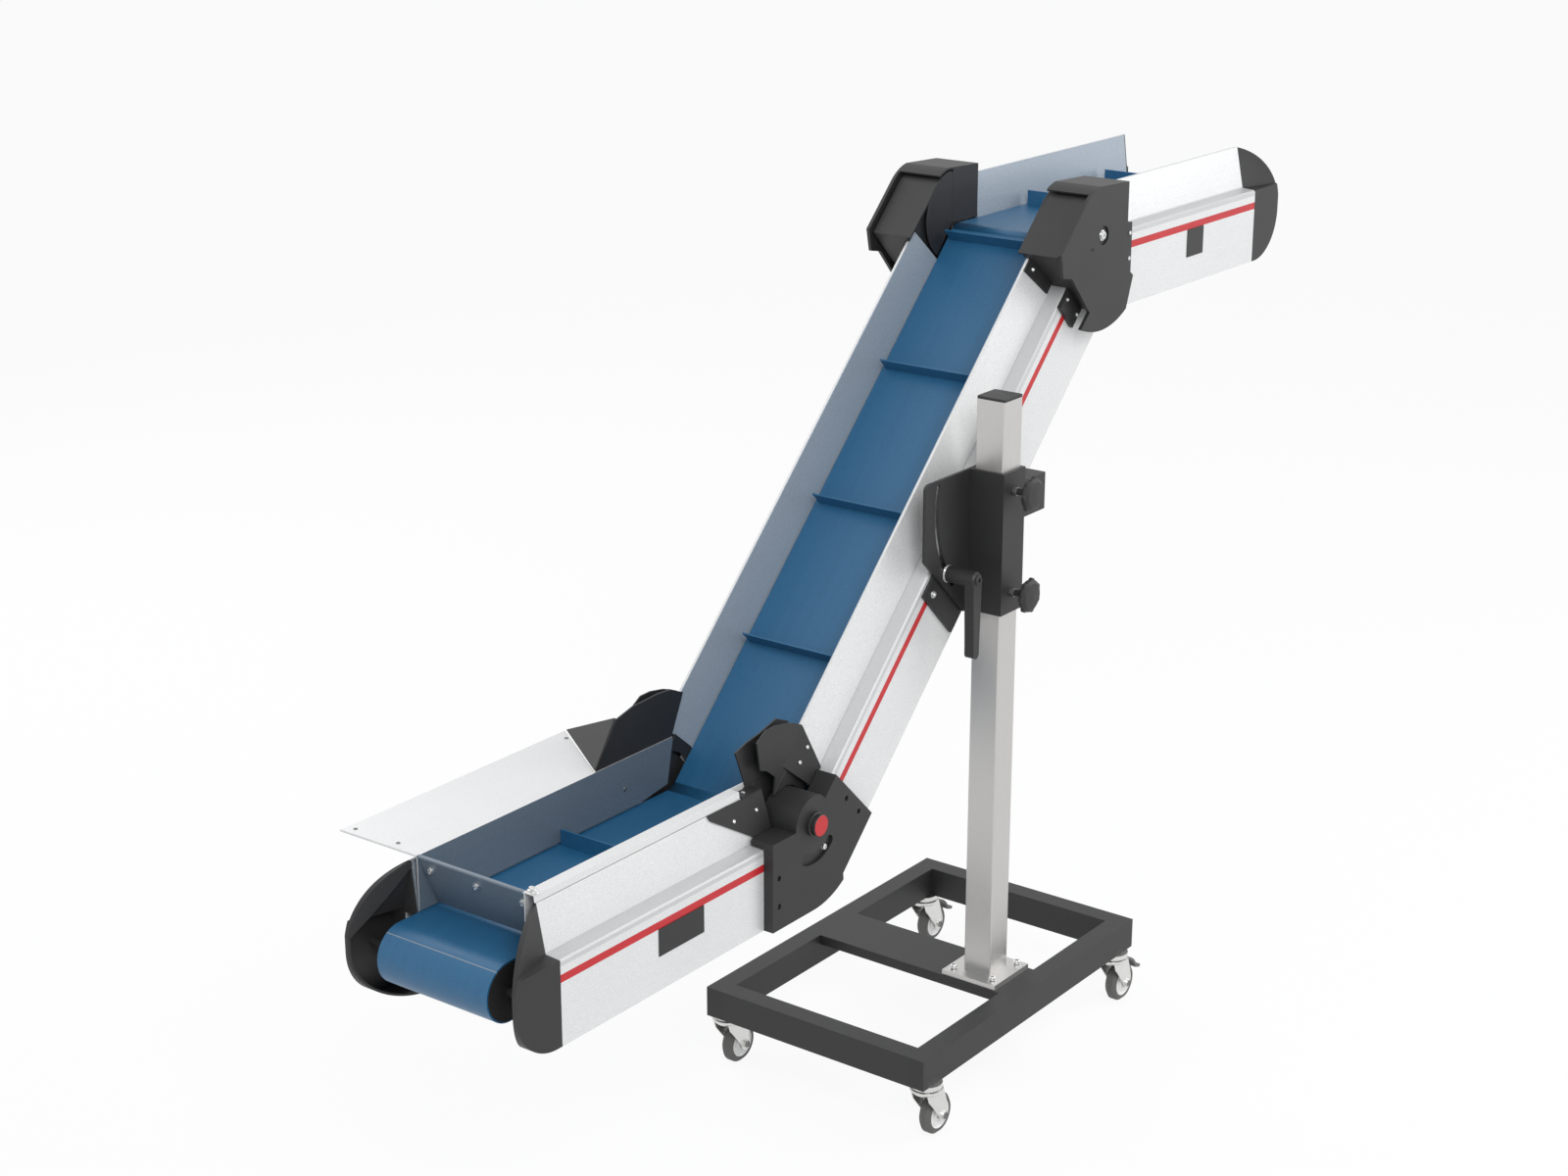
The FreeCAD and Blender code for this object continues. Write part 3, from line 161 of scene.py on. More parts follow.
floor_reach, floor_whiteness = 40, 0.9
floor_mesh = bpy.data.meshes.new("floor")
floor_mesh.from_pydata([(x * floor_reach, y * floor_reach, 0) for x, y in ((-1, -1), (1, -1), (1, 1), (-1, 1))],
                       [], [(0, 1, 2, 3)])
floor = bpy.data.objects.new("floor", floor_mesh)
bpy.context.scene.collection.objects.link(floor)
floor_paint = bpy.data.materials.new("floor_paint")
floor_paint.use_nodes = True
floor_paint.node_tree.nodes.clear()
flooring = Wiring(floor_paint.node_tree)
floor_dull = flooring.add("ShaderNodeBsdfDiffuse", {}, {"Color": (0.86, 0.86, 0.86)})
floor_white = flooring.add("ShaderNodeEmission", {}, {"Color": (1, 1, 1), "Strength": 1.0})
flooring.add("ShaderNodeOutputMaterial", {}, {"Surface": flooring.add("ShaderNodeMixShader", {}, {
    0: seen_rays(flooring) * floor_whiteness, 1: floor_dull, 2: floor_white})})
floor.data.materials.append(floor_paint)

# Base frame: two long rectangular steel tubes with shorter ones and a flat cross member welded between them,
# powder coated in a matt anthracite. Black plugs close the tube ends, and the post's foot plate is held to the
# cross member by four socket head screws.


class Finish(Wiring):
    """One finish of the conveyor, its pattern laid out by the place in the row frame."""

    def __init__(self, name, slope=0.0, start=(0.0, 0.0, 0.0)):
        self.material = bpy.data.materials.new(name)
        self.material.use_nodes = True
        super().__init__(self.material.node_tree)
        self.surface = self.tree.nodes["Principled BSDF"]
        self.place = self.add("ShaderNodeTexCoord", {}, {}, "Object")
        self.slope = slope
        self.start = start

    def along(self, stretch=(1, 1, 1)):
        """The place counted along the section, from its knee axis, with the pattern stretched."""
        return self.add("ShaderNodeMapping", {"vector_type": "TEXTURE"}, {
            "Vector": self.place, "Location": self.start, "Rotation": (0, -self.slope, 0), "Scale": stretch})

    def noise(self, place, scale, detail=2.0, rough=0.5):
        return self.add("ShaderNodeTexNoise", {}, {
            "Vector": place, "Scale": scale, "Detail": detail, "Roughness": rough}, "Fac")

    def parts(self, place):
        """The three numbers of a place."""
        x = self.add("ShaderNodeSeparateXYZ", {}, {0: place})
        return x, x.beside(1), x.beside(2)

    def blend(self, share, first, second):
        """Colour between two; 6, 7 and 2 are the places of the node's colours among its sockets."""
        return self.add("ShaderNodeMix", {"data_type": "RGBA"}, {0: share, 6: first, 7: second}, 2)

    def coat(self, **values):
        for key, value in values.items():
            self.fill(self.surface.inputs[key.replace("_", " ")], value)

    def bump(self, height, distance, strength):
        self.coat(Normal=self.add("ShaderNodeBump", {}, {
            "Height": height, "Distance": distance, "Strength": strength}, "Normal"))


def paint(finish, *names):
    for name in names:
        data = nodes[name].data
        data.materials.clear()
        data.materials.append(finish.material)


powder = Finish("powder_coat")
powder_peel = powder.noise(powder.place, 900, 1.5)
powder_cloud = powder.noise(powder.place, 9, 3)
powder.coat(Base_Color=powder.blend(powder_cloud, (0.014, 0.014, 0.015), (0.020, 0.020, 0.021)),
            Roughness=0.44 + 0.16 * powder_peel, Metallic=0.0)
powder.bump(powder_peel, 0.0004, 0.5)
paint(powder, "side_rails", "cross_rails")

moulded = Finish("moulded_black")
moulded_grain = moulded.noise(moulded.place, 1400, 2)
moulded_cloud = moulded.noise(moulded.place, 14, 3)
moulded.coat(Base_Color=moulded.blend(moulded_cloud, (0.012, 0.012, 0.013), (0.019, 0.019, 0.020)),
             Roughness=0.46 + 0.14 * moulded_grain)
moulded.bump(moulded_grain, 0.0003, 0.45)
paint(moulded, "rail_plugs")

bright = Finish("bright_zinc")
bright_spangle = bright.noise(bright.place, 160, 3)
bright.coat(Base_Color=bright.blend(bright_spangle, (0.60, 0.61, 0.62), (0.78, 0.78, 0.77)), Metallic=1.0,
            Roughness=0.22 + 0.18 * bright_spangle)

ROUND, HEXAGON, SQUARE, BORE = 24, 6, 4, 16


def fastener_tree():
    """Heads of screws or nuts on points: many-sided head with a chamfer, a recess, and a washer under it."""
    chamfer_top, chamfer_run, chamfer_over = 0.84, 1.06, 0.001
    tree = bpy.data.node_groups.new("fastener", "GeometryNodeTree")
    face = tree.interface
    face.new_socket("Geometry", in_out="INPUT", socket_type="NodeSocketGeometry")
    for name, kind in (("Sides", "Int"), ("Head radius", "Float"), ("Head height", "Float"),
                       ("Recess sides", "Int"), ("Recess radius", "Float"), ("Recess depth", "Float"),
                       ("Washer radius", "Float"), ("Washer height", "Float"), ("Metal", "Material")):
        face.new_socket(name, in_out="INPUT", socket_type="NodeSocket" + kind)
    face.new_socket("Geometry", in_out="OUTPUT", socket_type="NodeSocketGeometry")
    given = tree.nodes.new("NodeGroupInput").outputs
    result = tree.nodes.new("NodeGroupOutput")

    def step(kind, settings, sockets):
        thing = tree.nodes.new(kind)
        for key, value in settings.items():
            setattr(thing, key, value)
        for key, value in sockets.items():
            if isinstance(value, bpy.types.NodeSocket):
                tree.links.new(value, thing.inputs[key])
            else:
                thing.inputs[key].default_value = value
        return thing

    def sized(operation, first, second):
        return step("ShaderNodeMath", {"operation": operation}, {0: first, 1: second}).outputs[0]

    def upright(mesh, height):
        lift = step("ShaderNodeCombineXYZ", {}, {"Z": height}).outputs[0]
        return step("GeometryNodeTransform", {}, {"Geometry": mesh, "Translation": lift}).outputs[0]

    head_high, head_wide, washer_high = given["Head height"], given["Head radius"], given["Washer height"]
    drum = step("GeometryNodeMeshCylinder", {}, {
        "Vertices": given["Sides"], "Radius": head_wide, "Depth": head_high}).outputs["Mesh"]
    drum = upright(drum, sized("MULTIPLY", head_high, 0.5))
    hat = step("GeometryNodeMeshCone", {}, {
        "Vertices": ROUND, "Radius Top": sized("MULTIPLY", head_wide, chamfer_top),
        "Radius Bottom": sized("MULTIPLY", head_wide, chamfer_top + chamfer_run),
        "Depth": sized("MULTIPLY", head_wide, chamfer_run)}).outputs["Mesh"]
    hat = upright(hat, sized("SUBTRACT", head_high, sized("MULTIPLY", head_wide, chamfer_run - chamfer_over)))
    shaped = step("GeometryNodeMeshBoolean", {"operation": "INTERSECT"}, {1: drum})
    tree.links.new(hat, shaped.inputs[1])
    well = step("GeometryNodeMeshCylinder", {}, {
        "Vertices": given["Recess sides"], "Radius": given["Recess radius"],
        "Depth": sized("MULTIPLY", given["Recess depth"], 2.0)}).outputs["Mesh"]
    well = upright(well, head_high)
    hollow = step("GeometryNodeMeshBoolean", {"operation": "DIFFERENCE"}, {0: shaped.outputs[0], 1: well})
    raised = upright(hollow.outputs[0], washer_high)
    ring = step("GeometryNodeMeshCylinder", {}, {
        "Vertices": ROUND, "Radius": given["Washer radius"], "Depth": washer_high}).outputs["Mesh"]
    ring = upright(ring, sized("MULTIPLY", washer_high, 0.5))
    both = step("GeometryNodeJoinGeometry", {}, {0: ring})
    tree.links.new(raised, both.inputs[0])
    facing = step("GeometryNodeInputNamedAttribute", {"data_type": "FLOAT_VECTOR"}, {"Name": "facing"}).outputs[0]
    turn = step("FunctionNodeAlignRotationToVector", {"axis": "Z"}, {"Vector": facing}).outputs[0]
    dots = step("GeometryNodeMeshToPoints", {}, {"Mesh": given["Geometry"]}).outputs[0]
    placed = step("GeometryNodeInstanceOnPoints", {}, {
        "Points": dots, "Instance": both.outputs[0], "Rotation": turn}).outputs[0]
    real = step("GeometryNodeRealizeInstances", {}, {0: placed}).outputs[0]
    done = step("GeometryNodeSetMaterial", {}, {"Geometry": real, "Material": given["Metal"]}).outputs[0]
    tree.links.new(done, result.inputs[0])
    return tree


fasteners = fastener_tree()


def grown(name, base, tree, values):
    """Plain mesh that a node tree makes of a base mesh, with the tree's named inputs set."""
    seedling = bpy.data.objects.new(name + "_base", base)
    bpy.context.scene.collection.objects.link(seedling)
    maker = seedling.modifiers.new("maker", "NODES")
    maker.node_group = tree
    for item in tree.interface.items_tree:
        if item.in_out == "INPUT" and item.name in values:
            maker[item.identifier] = values[item.name]
    graph = bpy.context.evaluated_depsgraph_get()
    graph.update()
    made = bpy.data.meshes.new_from_object(seedling.evaluated_get(graph))
    seedling.modifiers.clear()
    bpy.data.objects.remove(seedling)
    made.name = name
    thing = bpy.data.objects.new(name, made)
    bpy.context.scene.collection.objects.link(thing)
    return thing


def fasten(name, body, spots, head, recess, washer=(0.0, 0.0), metal=bright):
    """Screws or nuts at (point, facing) spots, carried by one body. A head has its sides, radius and height, a
    recess its sides, radius and depth, and a washer its radius and height, in millimetres."""
    thinnest = 0.01
    base = bpy.data.meshes.new(name + "_points")
    base.from_pydata([tuple(point) for point, facing in spots], [], [])
    mark = base.attributes.new("facing", "FLOAT_VECTOR", "POINT")
    for i, (point, facing) in enumerate(spots):
        mark.data[i].vector = facing
    thing = grown(name, base, fasteners, {
        "Sides": head[0], "Head radius": head[1] / 1000, "Head height": head[2] / 1000,
        "Recess sides": recess[0], "Recess radius": recess[1] / 1000, "Recess depth": recess[2] / 1000,
        "Washer radius": max(washer[0], thinnest) / 1000, "Washer height": max(washer[1], thinnest) / 1000,
        "Metal": metal.material})
    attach(thing, body)


up = Vector((0, 0, 1))
post_y, bolt_reach, foot_top, member_under = -0.139, 0.044, 0.188, 0.158
fasten("foot_screws", "stand", [(Vector((x, post_y + y, foot_top)), up)
                                for x in (-bolt_reach, bolt_reach) for y in (-bolt_reach, bolt_reach)],
       head=(ROUND, 6.5, 8.0), recess=(HEXAGON, 3.4, 4.0), washer=(8.5, 1.4))
fasten("foot_nuts", "stand", [(Vector((x, post_y + bolt_reach, member_under)), -up)
                              for x in (-bolt_reach, bolt_reach)],
       head=(HEXAGON, 7.5, 6.5), recess=(BORE, 4.0, 1.0), washer=(8.5, 1.4))

# Post: square stainless tube, ground along its length, welded to its foot plate, with a flat black cap pressed into
# its open end.
ground = Finish("ground_steel")
ground_lines = ground.noise(ground.add("ShaderNodeMapping", {}, {
    "Vector": ground.place, "Scale": (1.0, 1.0, 0.012)}), 2600, 2, 0.6)
ground_cloud = ground.noise(ground.place, 6, 2)
ground.coat(Base_Color=ground.blend(ground_lines, (0.50, 0.495, 0.485), (0.66, 0.65, 0.635)), Metallic=1.0,
            Roughness=(0.30 + 0.16 * ground_lines) + 0.06 * ground_cloud)
ground.bump(ground_lines, 0.0002, 0.25)
paint(ground, "post", "post_flange")
paint(moulded, "post_cap")

# Castors: pressed zinc forks on ball race cups, each with a grey tread on a pale nylon hub and an axle held by
# blackened nuts, and a grey foot pedal over the wheels of the two castors at the back.
pressed = Finish("pressed_zinc")
pressed_spangle = pressed.noise(pressed.place, 90, 3)
pressed.coat(Base_Color=pressed.blend(pressed_spangle, (0.66, 0.66, 0.65), (0.78, 0.78, 0.76)), Metallic=1.0,
             Roughness=0.26 + 0.2 * pressed_spangle)
paint(pressed, "castor_cups")
dark_steel = Finish("blackened_steel")
dark_cloud = dark_steel.noise(dark_steel.place, 220, 3)
dark_steel.coat(Base_Color=dark_steel.blend(dark_cloud, (0.16, 0.16, 0.16), (0.26, 0.26, 0.255)), Metallic=0.85,
                Roughness=0.34 + 0.14 * dark_cloud)
pedal = Finish("pedal_grey")
pedal_grain = pedal.noise(pedal.place, 1200, 2)
pedal.coat(Base_Color=pedal.blend(pedal_grain, (0.10, 0.10, 0.10), (0.14, 0.14, 0.14)), Roughness=0.5)
pedal.bump(pedal_grain, 0.0003, 0.4)
swivel_x, swivel_y, trail = 0.335, 0.230, 0.030
axle_height, axle_half, hub_radius = 0.04, 0.0197, 0.0285
for end, sign_x in (("front", -1), ("back", 1)):
    for side, sign_y in (("near", -1), ("far", 1)):
        corner = end + "_" + side
        paint(pressed, "castor_fork_" + corner)
        axle_x, axle_y = sign_x * swivel_x + trail, sign_y * swivel_y
        wheel = Finish("wheel_" + corner)
        from_axle = wheel.parts(wheel.add("ShaderNodeMapping", {}, {
            "Vector": wheel.place, "Location": (-axle_x, -axle_y, -axle_height)}))
        radius = (from_axle[0] * from_axle[0] + from_axle[2] * from_axle[2]) ** 0.5
        tyre = radius.over(hub_radius)
        scuff = wheel.noise(wheel.place, 240, 3)
        wheel.coat(Base_Color=wheel.blend(tyre, (0.80, 0.80, 0.79), (0.105, 0.104, 0.100)),
                   Roughness=(0.36 + 0.24 * tyre) + 0.1 * scuff)
        wheel.bump(scuff, 0.0004, 0.3)
        paint(wheel, "castor_wheel_" + corner)
        fasten("axle_nuts_" + corner, "fork_" + corner, [
            (Vector((axle_x, axle_y + way * axle_half, axle_height)), Vector((0, way, 0))) for way in (-1, 1)],
            head=(HEXAGON, 7.6, 5.0), recess=(BORE, 4.0, 0.8), metal=dark_steel)
for side in ("near", "far"):
    paint(pedal, "castor_brake_back_" + side)

# Clamp on the post: a powder coated sleeve with a plate that has an arc slot, and two black hand knobs with seven
# lobes round a blackened nut, which press on the post from the front.
paint(powder, "post_sleeve", "pivot_housing", "slot_plate")
paint(moulded, "clamp_knobs")
outwards = Vector((0, -1, 0))
lobe_count, lobe_reach, lobe_out = 7, 0.0265, 0.0305
knob_places = [Vector((0, -0.175, z)) for z in (1.152, 0.959)]
fasten("knob_nuts", "clamp", [(place, outwards) for place in knob_places], head=(HEXAGON, 9.0, 8.0),
       recess=(BORE, 6.4, 1.0), metal=dark_steel)
lobes = []
for place in knob_places:
    for i in range(lobe_count):
        turn = 2 * math.pi * (i + 0.5) / lobe_count
        lobes.append((place + Vector((lobe_reach * math.cos(turn), -lobe_out, lobe_reach * math.sin(turn))),
                      outwards))
fasten("knob_lobes", "clamp", lobes, head=(ROUND, 7.0, 11.5), recess=(BORE, 1.2, 0.4), metal=moulded)

# Conveyor body: three lengths of one extruded aluminium profile, natural anodised, each with a red strip in its
# groove and a rolled sheet bed between its sides. All places on it are given along a section, above its underside
# and out from the conveyor's middle.
middle_y = 0.095
hinge_height = 165
incline_length, incline_slope = 1.265, math.radians(45)
lower_knee = (-0.522, 0.661)
upper_knee = (lower_knee[0] + incline_length * math.cos(incline_slope),
              lower_knee[1] + incline_length * math.sin(incline_slope))
SECTIONS = {"infeed": (lower_knee, 0.0), "incline": (lower_knee, incline_slope),
            "upper": (upper_knee, incline_slope), "discharge": (upper_knee, 0.0)}


def spot(section, along, height, half, side=-1):
    """Point from millimetres along a section, above its underside and out from the middle; side -1 is near."""
    (knee_x, knee_z), slope = SECTIONS[section]
    s, n = along / 1000, (height - hinge_height) / 1000
    return Vector((knee_x + s * math.cos(slope) - n * math.sin(slope), middle_y + side * half / 1000,
                   knee_z + s * math.sin(slope) + n * math.cos(slope)))


def heading_of(section, along, rise, outward, side):
    """Direction from its shares along a section, upright to it and out from the middle."""
    slope = SECTIONS[section][1]
    return Vector((along * math.cos(slope) - rise * math.sin(slope), side * outward,
                   along * math.sin(slope) + rise * math.cos(slope))).normalized()


def on_board(section, along, height, side):
    """Spot and facing on the outer leaning face of a side board, proud of it by a sheet."""
    board_low, board_rise, board_half, board_lean, proud = 152, 83, 155, 17, 3.0
    half = board_half - board_lean * (height - board_low) / board_rise + proud
    return spot(section, along, height, half, side), heading_of(section, 0, board_lean, board_rise, side)


def extruded(name, section, colour_low, colour_high, metallic, roughness, painted_shade=None, inner_half=0.1335):
    """Drawn or rolled aluminium with a fine speckle; the optional colour pair is painted shade and a painted
    reflection of the blue belt on the faces towards the belt, and with it the ledge under the board gets painted
    shade.
    """
    (knee_x, knee_z), slope = SECTIONS[section]
    finish = Finish(name, slope, (knee_x, middle_y, knee_z))
    drawn = finish.noise(finish.along((6.0, 0.02, 0.02)), 16, 3, 0.6)
    speckle = ((finish.noise(finish.place, 420, 3, 0.7) - 0.36) * 3.6).clipped()
    cloud = finish.noise(finish.place, 5, 2)
    mixed = (drawn * 0.3 + cloud * 0.2) + speckle * 0.5
    colour = finish.blend(mixed, colour_low, colour_high)
    if painted_shade:
        ledge_low, ledge_high, ledge_half, inner_low = -0.026, -0.0105, 0.1485, -0.024
        _, across, rise = finish.parts(finish.along())
        half = (across * across) ** 0.5
        # Painted shade: the band along the ledge between the board's foot and the box top is darkened as if in
        # shadow.
        painted_ledge_shade = rise.over(ledge_low) * (ledge_high - rise).over(0.0) * half.over(ledge_half)
        colour = finish.blend(painted_ledge_shade * 0.5, colour, (0.40, 0.405, 0.41))
        # Painted shade and a painted reflection of the blue belt: faces towards the belt, above the belt's side,
        # take the darker blue-grey pair.
        painted_shade_mask = (inner_half - half).over(0.0) * rise.over(inner_low)
        colour = finish.blend(painted_shade_mask, colour, finish.blend(mixed, *painted_shade))
    finish.coat(Base_Color=colour, Metallic=metallic, Roughness=(roughness - 0.06) + 0.14 * drawn)
    finish.bump(drawn * 0.5 + speckle * 0.5, 0.0003, 0.22)
    return finish


# Blue-grey pair of painted shade and painted reflection of the blue belt, for the profile's faces towards the belt.
painted_belt_side_shade = ((0.28, 0.33, 0.385), (0.45, 0.50, 0.555))
for section in ("infeed", "incline", "discharge"):
    anodised = extruded("anodised_" + section, section, (0.57, 0.575, 0.58), (0.82, 0.82, 0.82), 0.25, 0.42,
                        painted_belt_side_shade)
    paint(anodised, section + "_sides")
    rolled = extruded("rolled_sheet_" + section, section, (0.50, 0.52, 0.54), (0.62, 0.64, 0.66), 1.0, 0.36)
    paint(rolled, section + "_bed")

strip = Finish("red_strip")
strip_cloud = strip.noise(strip.place, 40, 2)
strip.coat(Base_Color=strip.blend(strip_cloud, (0.44, 0.007, 0.012), (0.52, 0.010, 0.017)), Roughness=0.42)
strip.bump(strip_cloud, 0.0005, 0.15)
paint(strip, "infeed_stripes", "incline_stripes", "discharge_stripes")

# Belt: smooth blue polyurethane with welded cleats, run over a drum at each end and over rollers at the knees.
# Between the lengths that ride on each section it bends round the knees in short strips of its own.


def belting(section):
    """Blue polyurethane with rubbed streaks along the section; the infeed's length has the welded splice."""
    (knee_x, knee_z), slope = SECTIONS[section]
    finish = Finish("belting_" + section, slope, (knee_x, middle_y, knee_z))
    rub = finish.noise(finish.along((8.0, 0.25, 1.0)), 22, 3)
    skin = ((finish.noise(finish.place, 480, 2) - 0.3) * 2.5).clipped()
    colour = finish.blend(rub * 0.5 + skin * 0.5, (0.011, 0.086, 0.190), (0.024, 0.136, 0.275))
    if section == "infeed":
        splice_before, splice_half, top_run_low = 0.7186, 0.0007, -0.069
        along, _, rise = finish.parts(finish.along())
        from_splice = along + splice_before
        splice = (splice_half - (from_splice * from_splice) ** 0.5).over(0.0) * rise.over(top_run_low)
        colour = finish.blend(splice, colour, (0.22, 0.26, 0.30))
    finish.coat(Base_Color=colour, Roughness=(0.34 + 0.12 * rub) + 0.05 * skin)
    finish.bump(skin, 0.0002, 0.2)
    return finish


beltings = {section: belting(section) for section in ("infeed", "incline", "discharge")}
for section, finish in beltings.items():
    paint(finish, section + "_belt")
paint(moulded, "infeed_drum", "discharge_drum")


def arc(radius, angles):
    """(along, rise) points in millimetres on a circle about a knee's axis, at angles in degrees."""
    return [(radius * math.cos(math.radians(a)), radius * math.sin(math.radians(a))) for a in angles]


def belt_bend(name, knee, path):
    """Strip of belt through (along, rise) points in millimetres about a knee."""
    half, thick = 0.119, 0.003
    mesh = bpy.data.meshes.new(name)
    thing = bpy.data.objects.new(name, mesh)
    bpy.context.scene.collection.objects.link(thing)
    build = bmesh.new()
    rows = []
    points = [Vector((knee[0] + x / 1000, 0, knee[1] + z / 1000)) for x, z in path]
    for i, point in enumerate(points):
        way = (points[min(i + 1, len(points) - 1)] - points[max(i - 1, 0)]).normalized()
        under = Vector((way.z, 0, -way.x)) * thick
        rows.append([build.verts.new((p.x, middle_y + y, p.z)) for p, y in (
            (point, -half), (point, half), (point + under, half), (point + under, -half))])
    for a, b in zip(rows, rows[1:]):
        for j in range(4):
            build.faces.new((a[j], a[(j + 1) % 4], b[(j + 1) % 4], b[j]))
    build.faces.new(rows[0][::-1])
    build.faces.new(rows[-1])
    bmesh.ops.recalc_face_normals(build, faces=build.faces)
    build.to_mesh(mesh)
    build.free()
    mesh.materials.append(beltings["infeed"].material)
    for face in mesh.polygons:
        face.use_smooth = len(face.vertices) == 4 and abs(face.normal.y) < 0.5
    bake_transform(thing)


return_radius = 121
belt_bend("belt_bend_low", lower_knee, [(-6, -17), (-1, -16.8), (4, -15.6), (9, -13.2), (13, -10.6), (16.3, -7.8)])
belt_bend("belt_return_low", lower_knee,
          [(-6, -return_radius)] + arc(return_radius, range(-90, -39, 5)) + [(99.7, -71.4)])
belt_bend("belt_bend_high", upper_knee, [(-2.1, -26.2), (3, -22.0), (8, -19.2), (13, -17.6), (20, -17)])
belt_bend("belt_return_high", upper_knee,
          [(36.1, -135.1), (42, -130), (50, -125.6), (59, -122.4), (70, -return_radius)])

# Tilt plate and lever: a flat powder coated plate on the incline that the arc slot guides, held by a screw, and a
# black lever on a bright collar that clamps it.
paint(powder, "tilt_plate")
paint(bright, "tilt_pin")
paint(moulded, "clamp_lever")
lever_along, lever_height = 538.9, 117.5
fasten("lever_collar", "incline", [(spot("incline", lever_along, lever_height, 199), outwards)],
       head=(ROUND, 15.6, 4.0), recess=(ROUND, 14.6, 3.0), washer=(16.8, 1.6))
fasten("lever_screw", "incline", [(spot("incline", lever_along, lever_height, 265), outwards)],
       head=(ROUND, 9.4, 3.2), recess=(HEXAGON, 4.4, 2.6), metal=moulded)
fasten("tilt_screw", "incline", [(spot("incline", 492, 118, 191), outwards)],
       head=(ROUND, 6.0, 3.4), recess=(HEXAGON, 2.9, 2.2), washer=(7.2, 0.8))

# Lower knee: two moulded halves on each side that turn about a common boss, with an arc slot in the outer one and a
# red cap on the axis. Thin moulded visors arch over the belt's bend, with skirts beside it, and bright screws hold
# the halves to the side boards.
paint(moulded, "lower_knee_infeed", "lower_knee_incline", "infeed_visors", "incline_visors")
red_from = 0.2211
cap_finish = Finish("hinge_cap")
cap_side = cap_finish.parts(cap_finish.place)[1] - middle_y
cap_red = ((cap_side * cap_side) ** 0.5).over(red_from)
cap_grain = cap_finish.noise(cap_finish.place, 900, 2)
cap_finish.coat(Base_Color=cap_finish.blend(cap_red, (0.018, 0.018, 0.019), (0.48, 0.009, 0.015)),
                Roughness=0.36 + 0.1 * cap_grain)
cap_finish.bump(cap_grain, 0.0003, 0.3)
paint(cap_finish, "hinge_caps")
infeed_screws, incline_screws, slot_bolts = [], [], []
for side in (-1, 1):
    infeed_screws += [on_board("infeed", along, 206.6, side) for along in (-89.5, -152)]
    infeed_screws.append((spot("infeed", -102.5, 238, 129, side), up))
    incline_screws += [on_board("incline", along, 203, side) for along in (88, 119)]
    slot_bolts.append((spot("infeed", 34.5, hinge_height - 56.3, 199, side), Vector((0, side, 0))))
fasten("knee_screws_infeed", "infeed", infeed_screws, head=(ROUND, 3.6, 2.2), recess=(HEXAGON, 1.8, 1.4))
fasten("knee_screws_incline", "incline", incline_screws, head=(ROUND, 3.6, 2.2), recess=(HEXAGON, 1.8, 1.4))
fasten("slot_bolts", "incline", slot_bolts, head=(ROUND, 5.2, 4.5), recess=(HEXAGON, 2.6, 2.6), washer=(5.8, 1.0))


def slabs(name, body, shells, finish, chamfer=0.0006):
    """Flat pieces between pairs of like rings of corners, with broken edges, carried by one body."""
    mesh = bpy.data.meshes.new(name)
    thing = bpy.data.objects.new(name, mesh)
    bpy.context.scene.collection.objects.link(thing)
    build = bmesh.new()
    for first, second in shells:
        near = [build.verts.new(corner) for corner in first]
        far = [build.verts.new(corner) for corner in second]
        build.faces.new(near)
        build.faces.new(far[::-1])
        for i in range(len(near)):
            j = (i + 1) % len(near)
            build.faces.new((near[i], far[i], far[j], near[j]))
    bmesh.ops.recalc_face_normals(build, faces=build.faces)
    bmesh.ops.bevel(build, geom=build.edges[:], offset=chamfer, segments=1, affect="EDGES")
    build.to_mesh(mesh)
    build.free()
    mesh.materials.append(finish.material)
    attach(thing, body)


def upright_plate(section, outline, half_in, half_out):
    """Rings of a plate on each side of the belt, from (along, rise) corners about the knee axis."""
    return [[[spot(section, along, hinge_height + rise, half, side) for along, rise in outline]
             for half in (half_in, half_out)] for side in (-1, 1)]


boss_edge = arc(54, range(-24, 79, 6))
slabs("visor_skirts_infeed", "infeed", upright_plate(
    "infeed", ((-72, -9), (-12, -1), (5, 77), (-60, 77.4), (-66, 69)), 117.4, 120), moulded)
slabs("visor_skirts_incline", "incline", upright_plate(
    "incline", boss_edge + [(12, 56.6), (73, 56.6), (80, -14), (78, -22)], 138, 141), moulded)
slabs("belt_side_plates", "incline", upright_plate(
    "incline", boss_edge[:12] + [(74, 45), (79, -14), (78, -22)], 121.2, 123.6), moulded)

# Upper knee: a moulded cover on the discharge half that turns over the incline's half, the hood, about a bright
# bolt. Bright screws hold both to the profiles, and thin moulded plates close the hood's front and the inside of the
# cover beside the belt.
paint(moulded, "upper_knee_discharge", "upper_knee_incline")
hood_screws, cover_screws, hub_bolts, cover_marks = [], [], [], []
for side in (-1, 1):
    facing = Vector((0, side, 0))
    cover_screws += [(spot("discharge", 97, hinge_height + rise, 220, side), facing) for rise in (-10, -59)]
    hood_screws += [(spot("upper", -136, height, 193, side), facing) for height in (143, 93)]
    hood_screws.append(on_board("upper", -128, 218, side))
    hub_bolts.append((spot("upper", 0, hinge_height, 216, side), facing))
    cover_marks.append((spot("discharge", -39, hinge_height - 21, 220, side), facing))
fasten("cover_screws", "discharge", cover_screws, head=(ROUND, 4.0, 2.4), recess=(HEXAGON, 2.0, 1.5))
fasten("hood_screws", "incline", hood_screws, head=(ROUND, 4.2, 2.6), recess=(HEXAGON, 2.2, 1.6))
fasten("hub_bolts", "incline", hub_bolts, head=(ROUND, 8.5, 4.0), recess=(SQUARE, 3.2, 2.4), washer=(10.5, 1.0))
fasten("cover_marks", "discharge", cover_marks, head=(ROUND, 3.4, 0.9), recess=(BORE, 2.6, 0.7), metal=moulded)


def cross_plate(section, outline, start, end, sides=(-1, 1)):
    """Rings of a plate across a side's profile, from (half width, height) corners."""
    return [[[spot(section, along, height, half, side) for half, height in outline]
             for along in (start, end)] for side in sides]


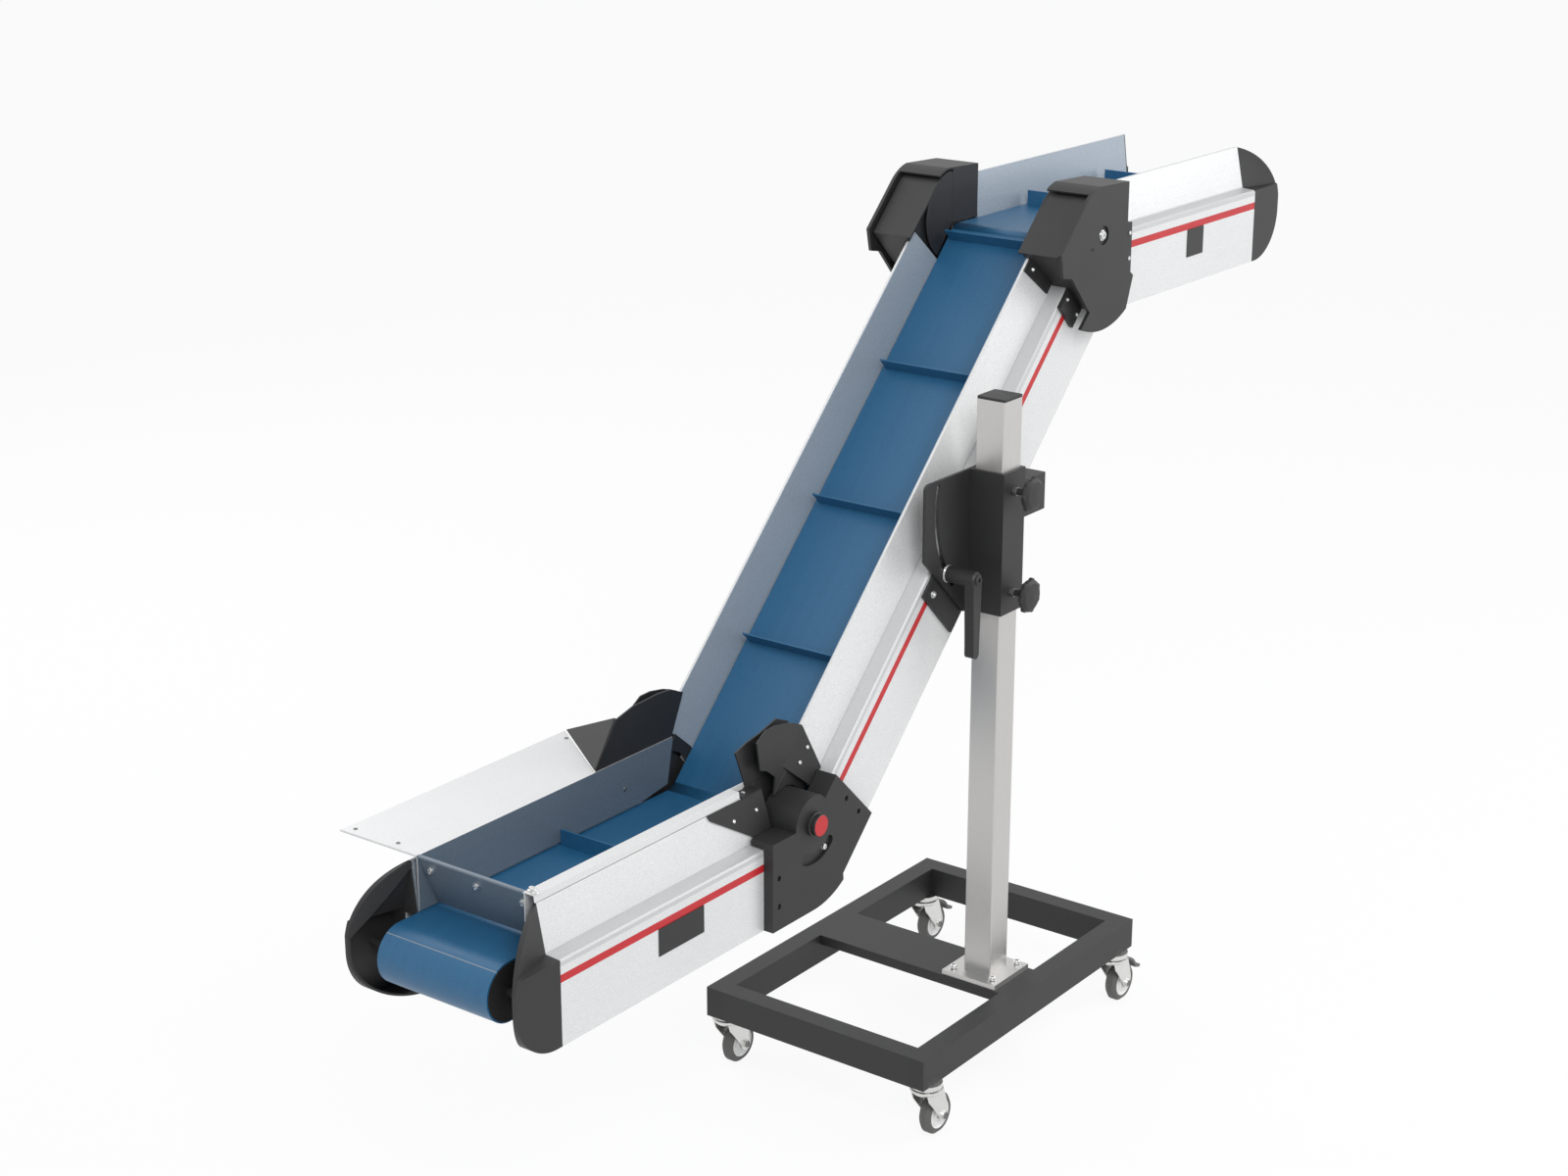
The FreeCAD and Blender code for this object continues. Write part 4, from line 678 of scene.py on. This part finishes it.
hood_front = ((156, 154), (138.8, 236), (130, 236.4), (130, 248), (156, 248))
hood_edge = ((-117, 71.4), (-91, 71.4), (-91, 83), (-117, 83))
slabs("hood_closers", "incline", cross_plate("upper", hood_front, -116.9, -113.2)
      + upright_plate("upper", hood_edge, 130.4, 133.6), moulded)
cheek = [(0.4, 84)] + arc(88, range(95, 226, 10)) + [(-50, -71), (0.4, -14.6)]
slabs("cover_cheeks", "discharge", upright_plate("discharge", cheek, 121.2, 124.8), moulded)

# End caps: moulded black boxes round the drum at each end, with thin plates of the same behind them that close the
# hollow sides, and small black flaps that clip in under the red strip.
paint(moulded, "infeed_caps", "discharge_caps", "infeed_cover", "discharge_cover")
end_form = ((184, 1), (151, 1), (151, 140), (127, 140), (122, 144), (126, 179), (132.6, 234), (137.4, 234),
            (154, 152), (182, 149), (184, 146))
slabs("infeed_end_plates", "infeed", cross_plate("infeed", end_form, -643.4, -645.4), moulded)
slabs("discharge_end_plates", "discharge", cross_plate("discharge", end_form, 676.4, 678.4, (-1,)), moulded)

# Hopper: pale aluminium sheet folded over the infeed, with a narrow rim across its front and a narrow lip along the
# near board. Dark screws and bright hexagon nuts hold it, and two bright nuts the end of the lip.
# The hopper's faces towards the belt take a darker blue-grey pair of painted shade and painted reflection of the
# blue belt.
pale_sheet = extruded("pale_sheet", "infeed", (0.57, 0.575, 0.58), (0.80, 0.80, 0.80), 0.3, 0.40,
                      ((0.11, 0.145, 0.185), (0.20, 0.245, 0.295)), 0.1155)
paint(pale_sheet, "hopper")
rim = ((-647.6, 81.6), (-640.0, 81.6), (-640.0, 85.2), (-647.6, 85.2))
slabs("hopper_front_rim", "infeed", [[[spot("infeed", along, hinge_height + rise, half) for along, rise in rim]
                                      for half in (117.4, -290)]], pale_sheet)
lip = ((117.6, 247.4), (135.0, 247.4), (136.6, 236.4), (138.4, 236.4), (136.8, 248.8), (115.2, 249.6))
slabs("hopper_near_lip", "infeed", cross_plate("infeed", lip, -646, -124, (-1,)), pale_sheet, 0.0003)
clip_height = hinge_height + 84.6
fasten("hopper_clips", "infeed", [(spot("infeed", along, clip_height, half), up)
                                  for along, half in ((-634, 121), (-637, 133))],
       head=(HEXAGON, 5.0, 4.6), recess=(BORE, 2.4, 0.8), washer=(7.0, 1.0))
flange_top = 0.745
hopper_spots = [(Vector((x, y, flange_top)), up) for x, y in ((-0.636, 0.358), (-1.151, 0.368), (-1.150, 0.271))]
hopper_spots.append((Vector((-0.650, 0.210, 0.688)), outwards))
fasten("hopper_screws", "infeed", hopper_spots, head=(ROUND, 4.0, 1.0), recess=(HEXAGON, 1.9, 0.7),
       metal=dark_steel)
front_facing = Vector((-97, 0, -42)).normalized()
front_spots = [(Vector((-1.1575, y, 0.7206)), front_facing) for y in (-0.009, 0.0905, 0.191)]
fasten("hopper_nuts", "infeed", front_spots, head=(HEXAGON, 6.0, 4.2), recess=(BORE, 3.0, 0.8), washer=(8.0, 1.2))
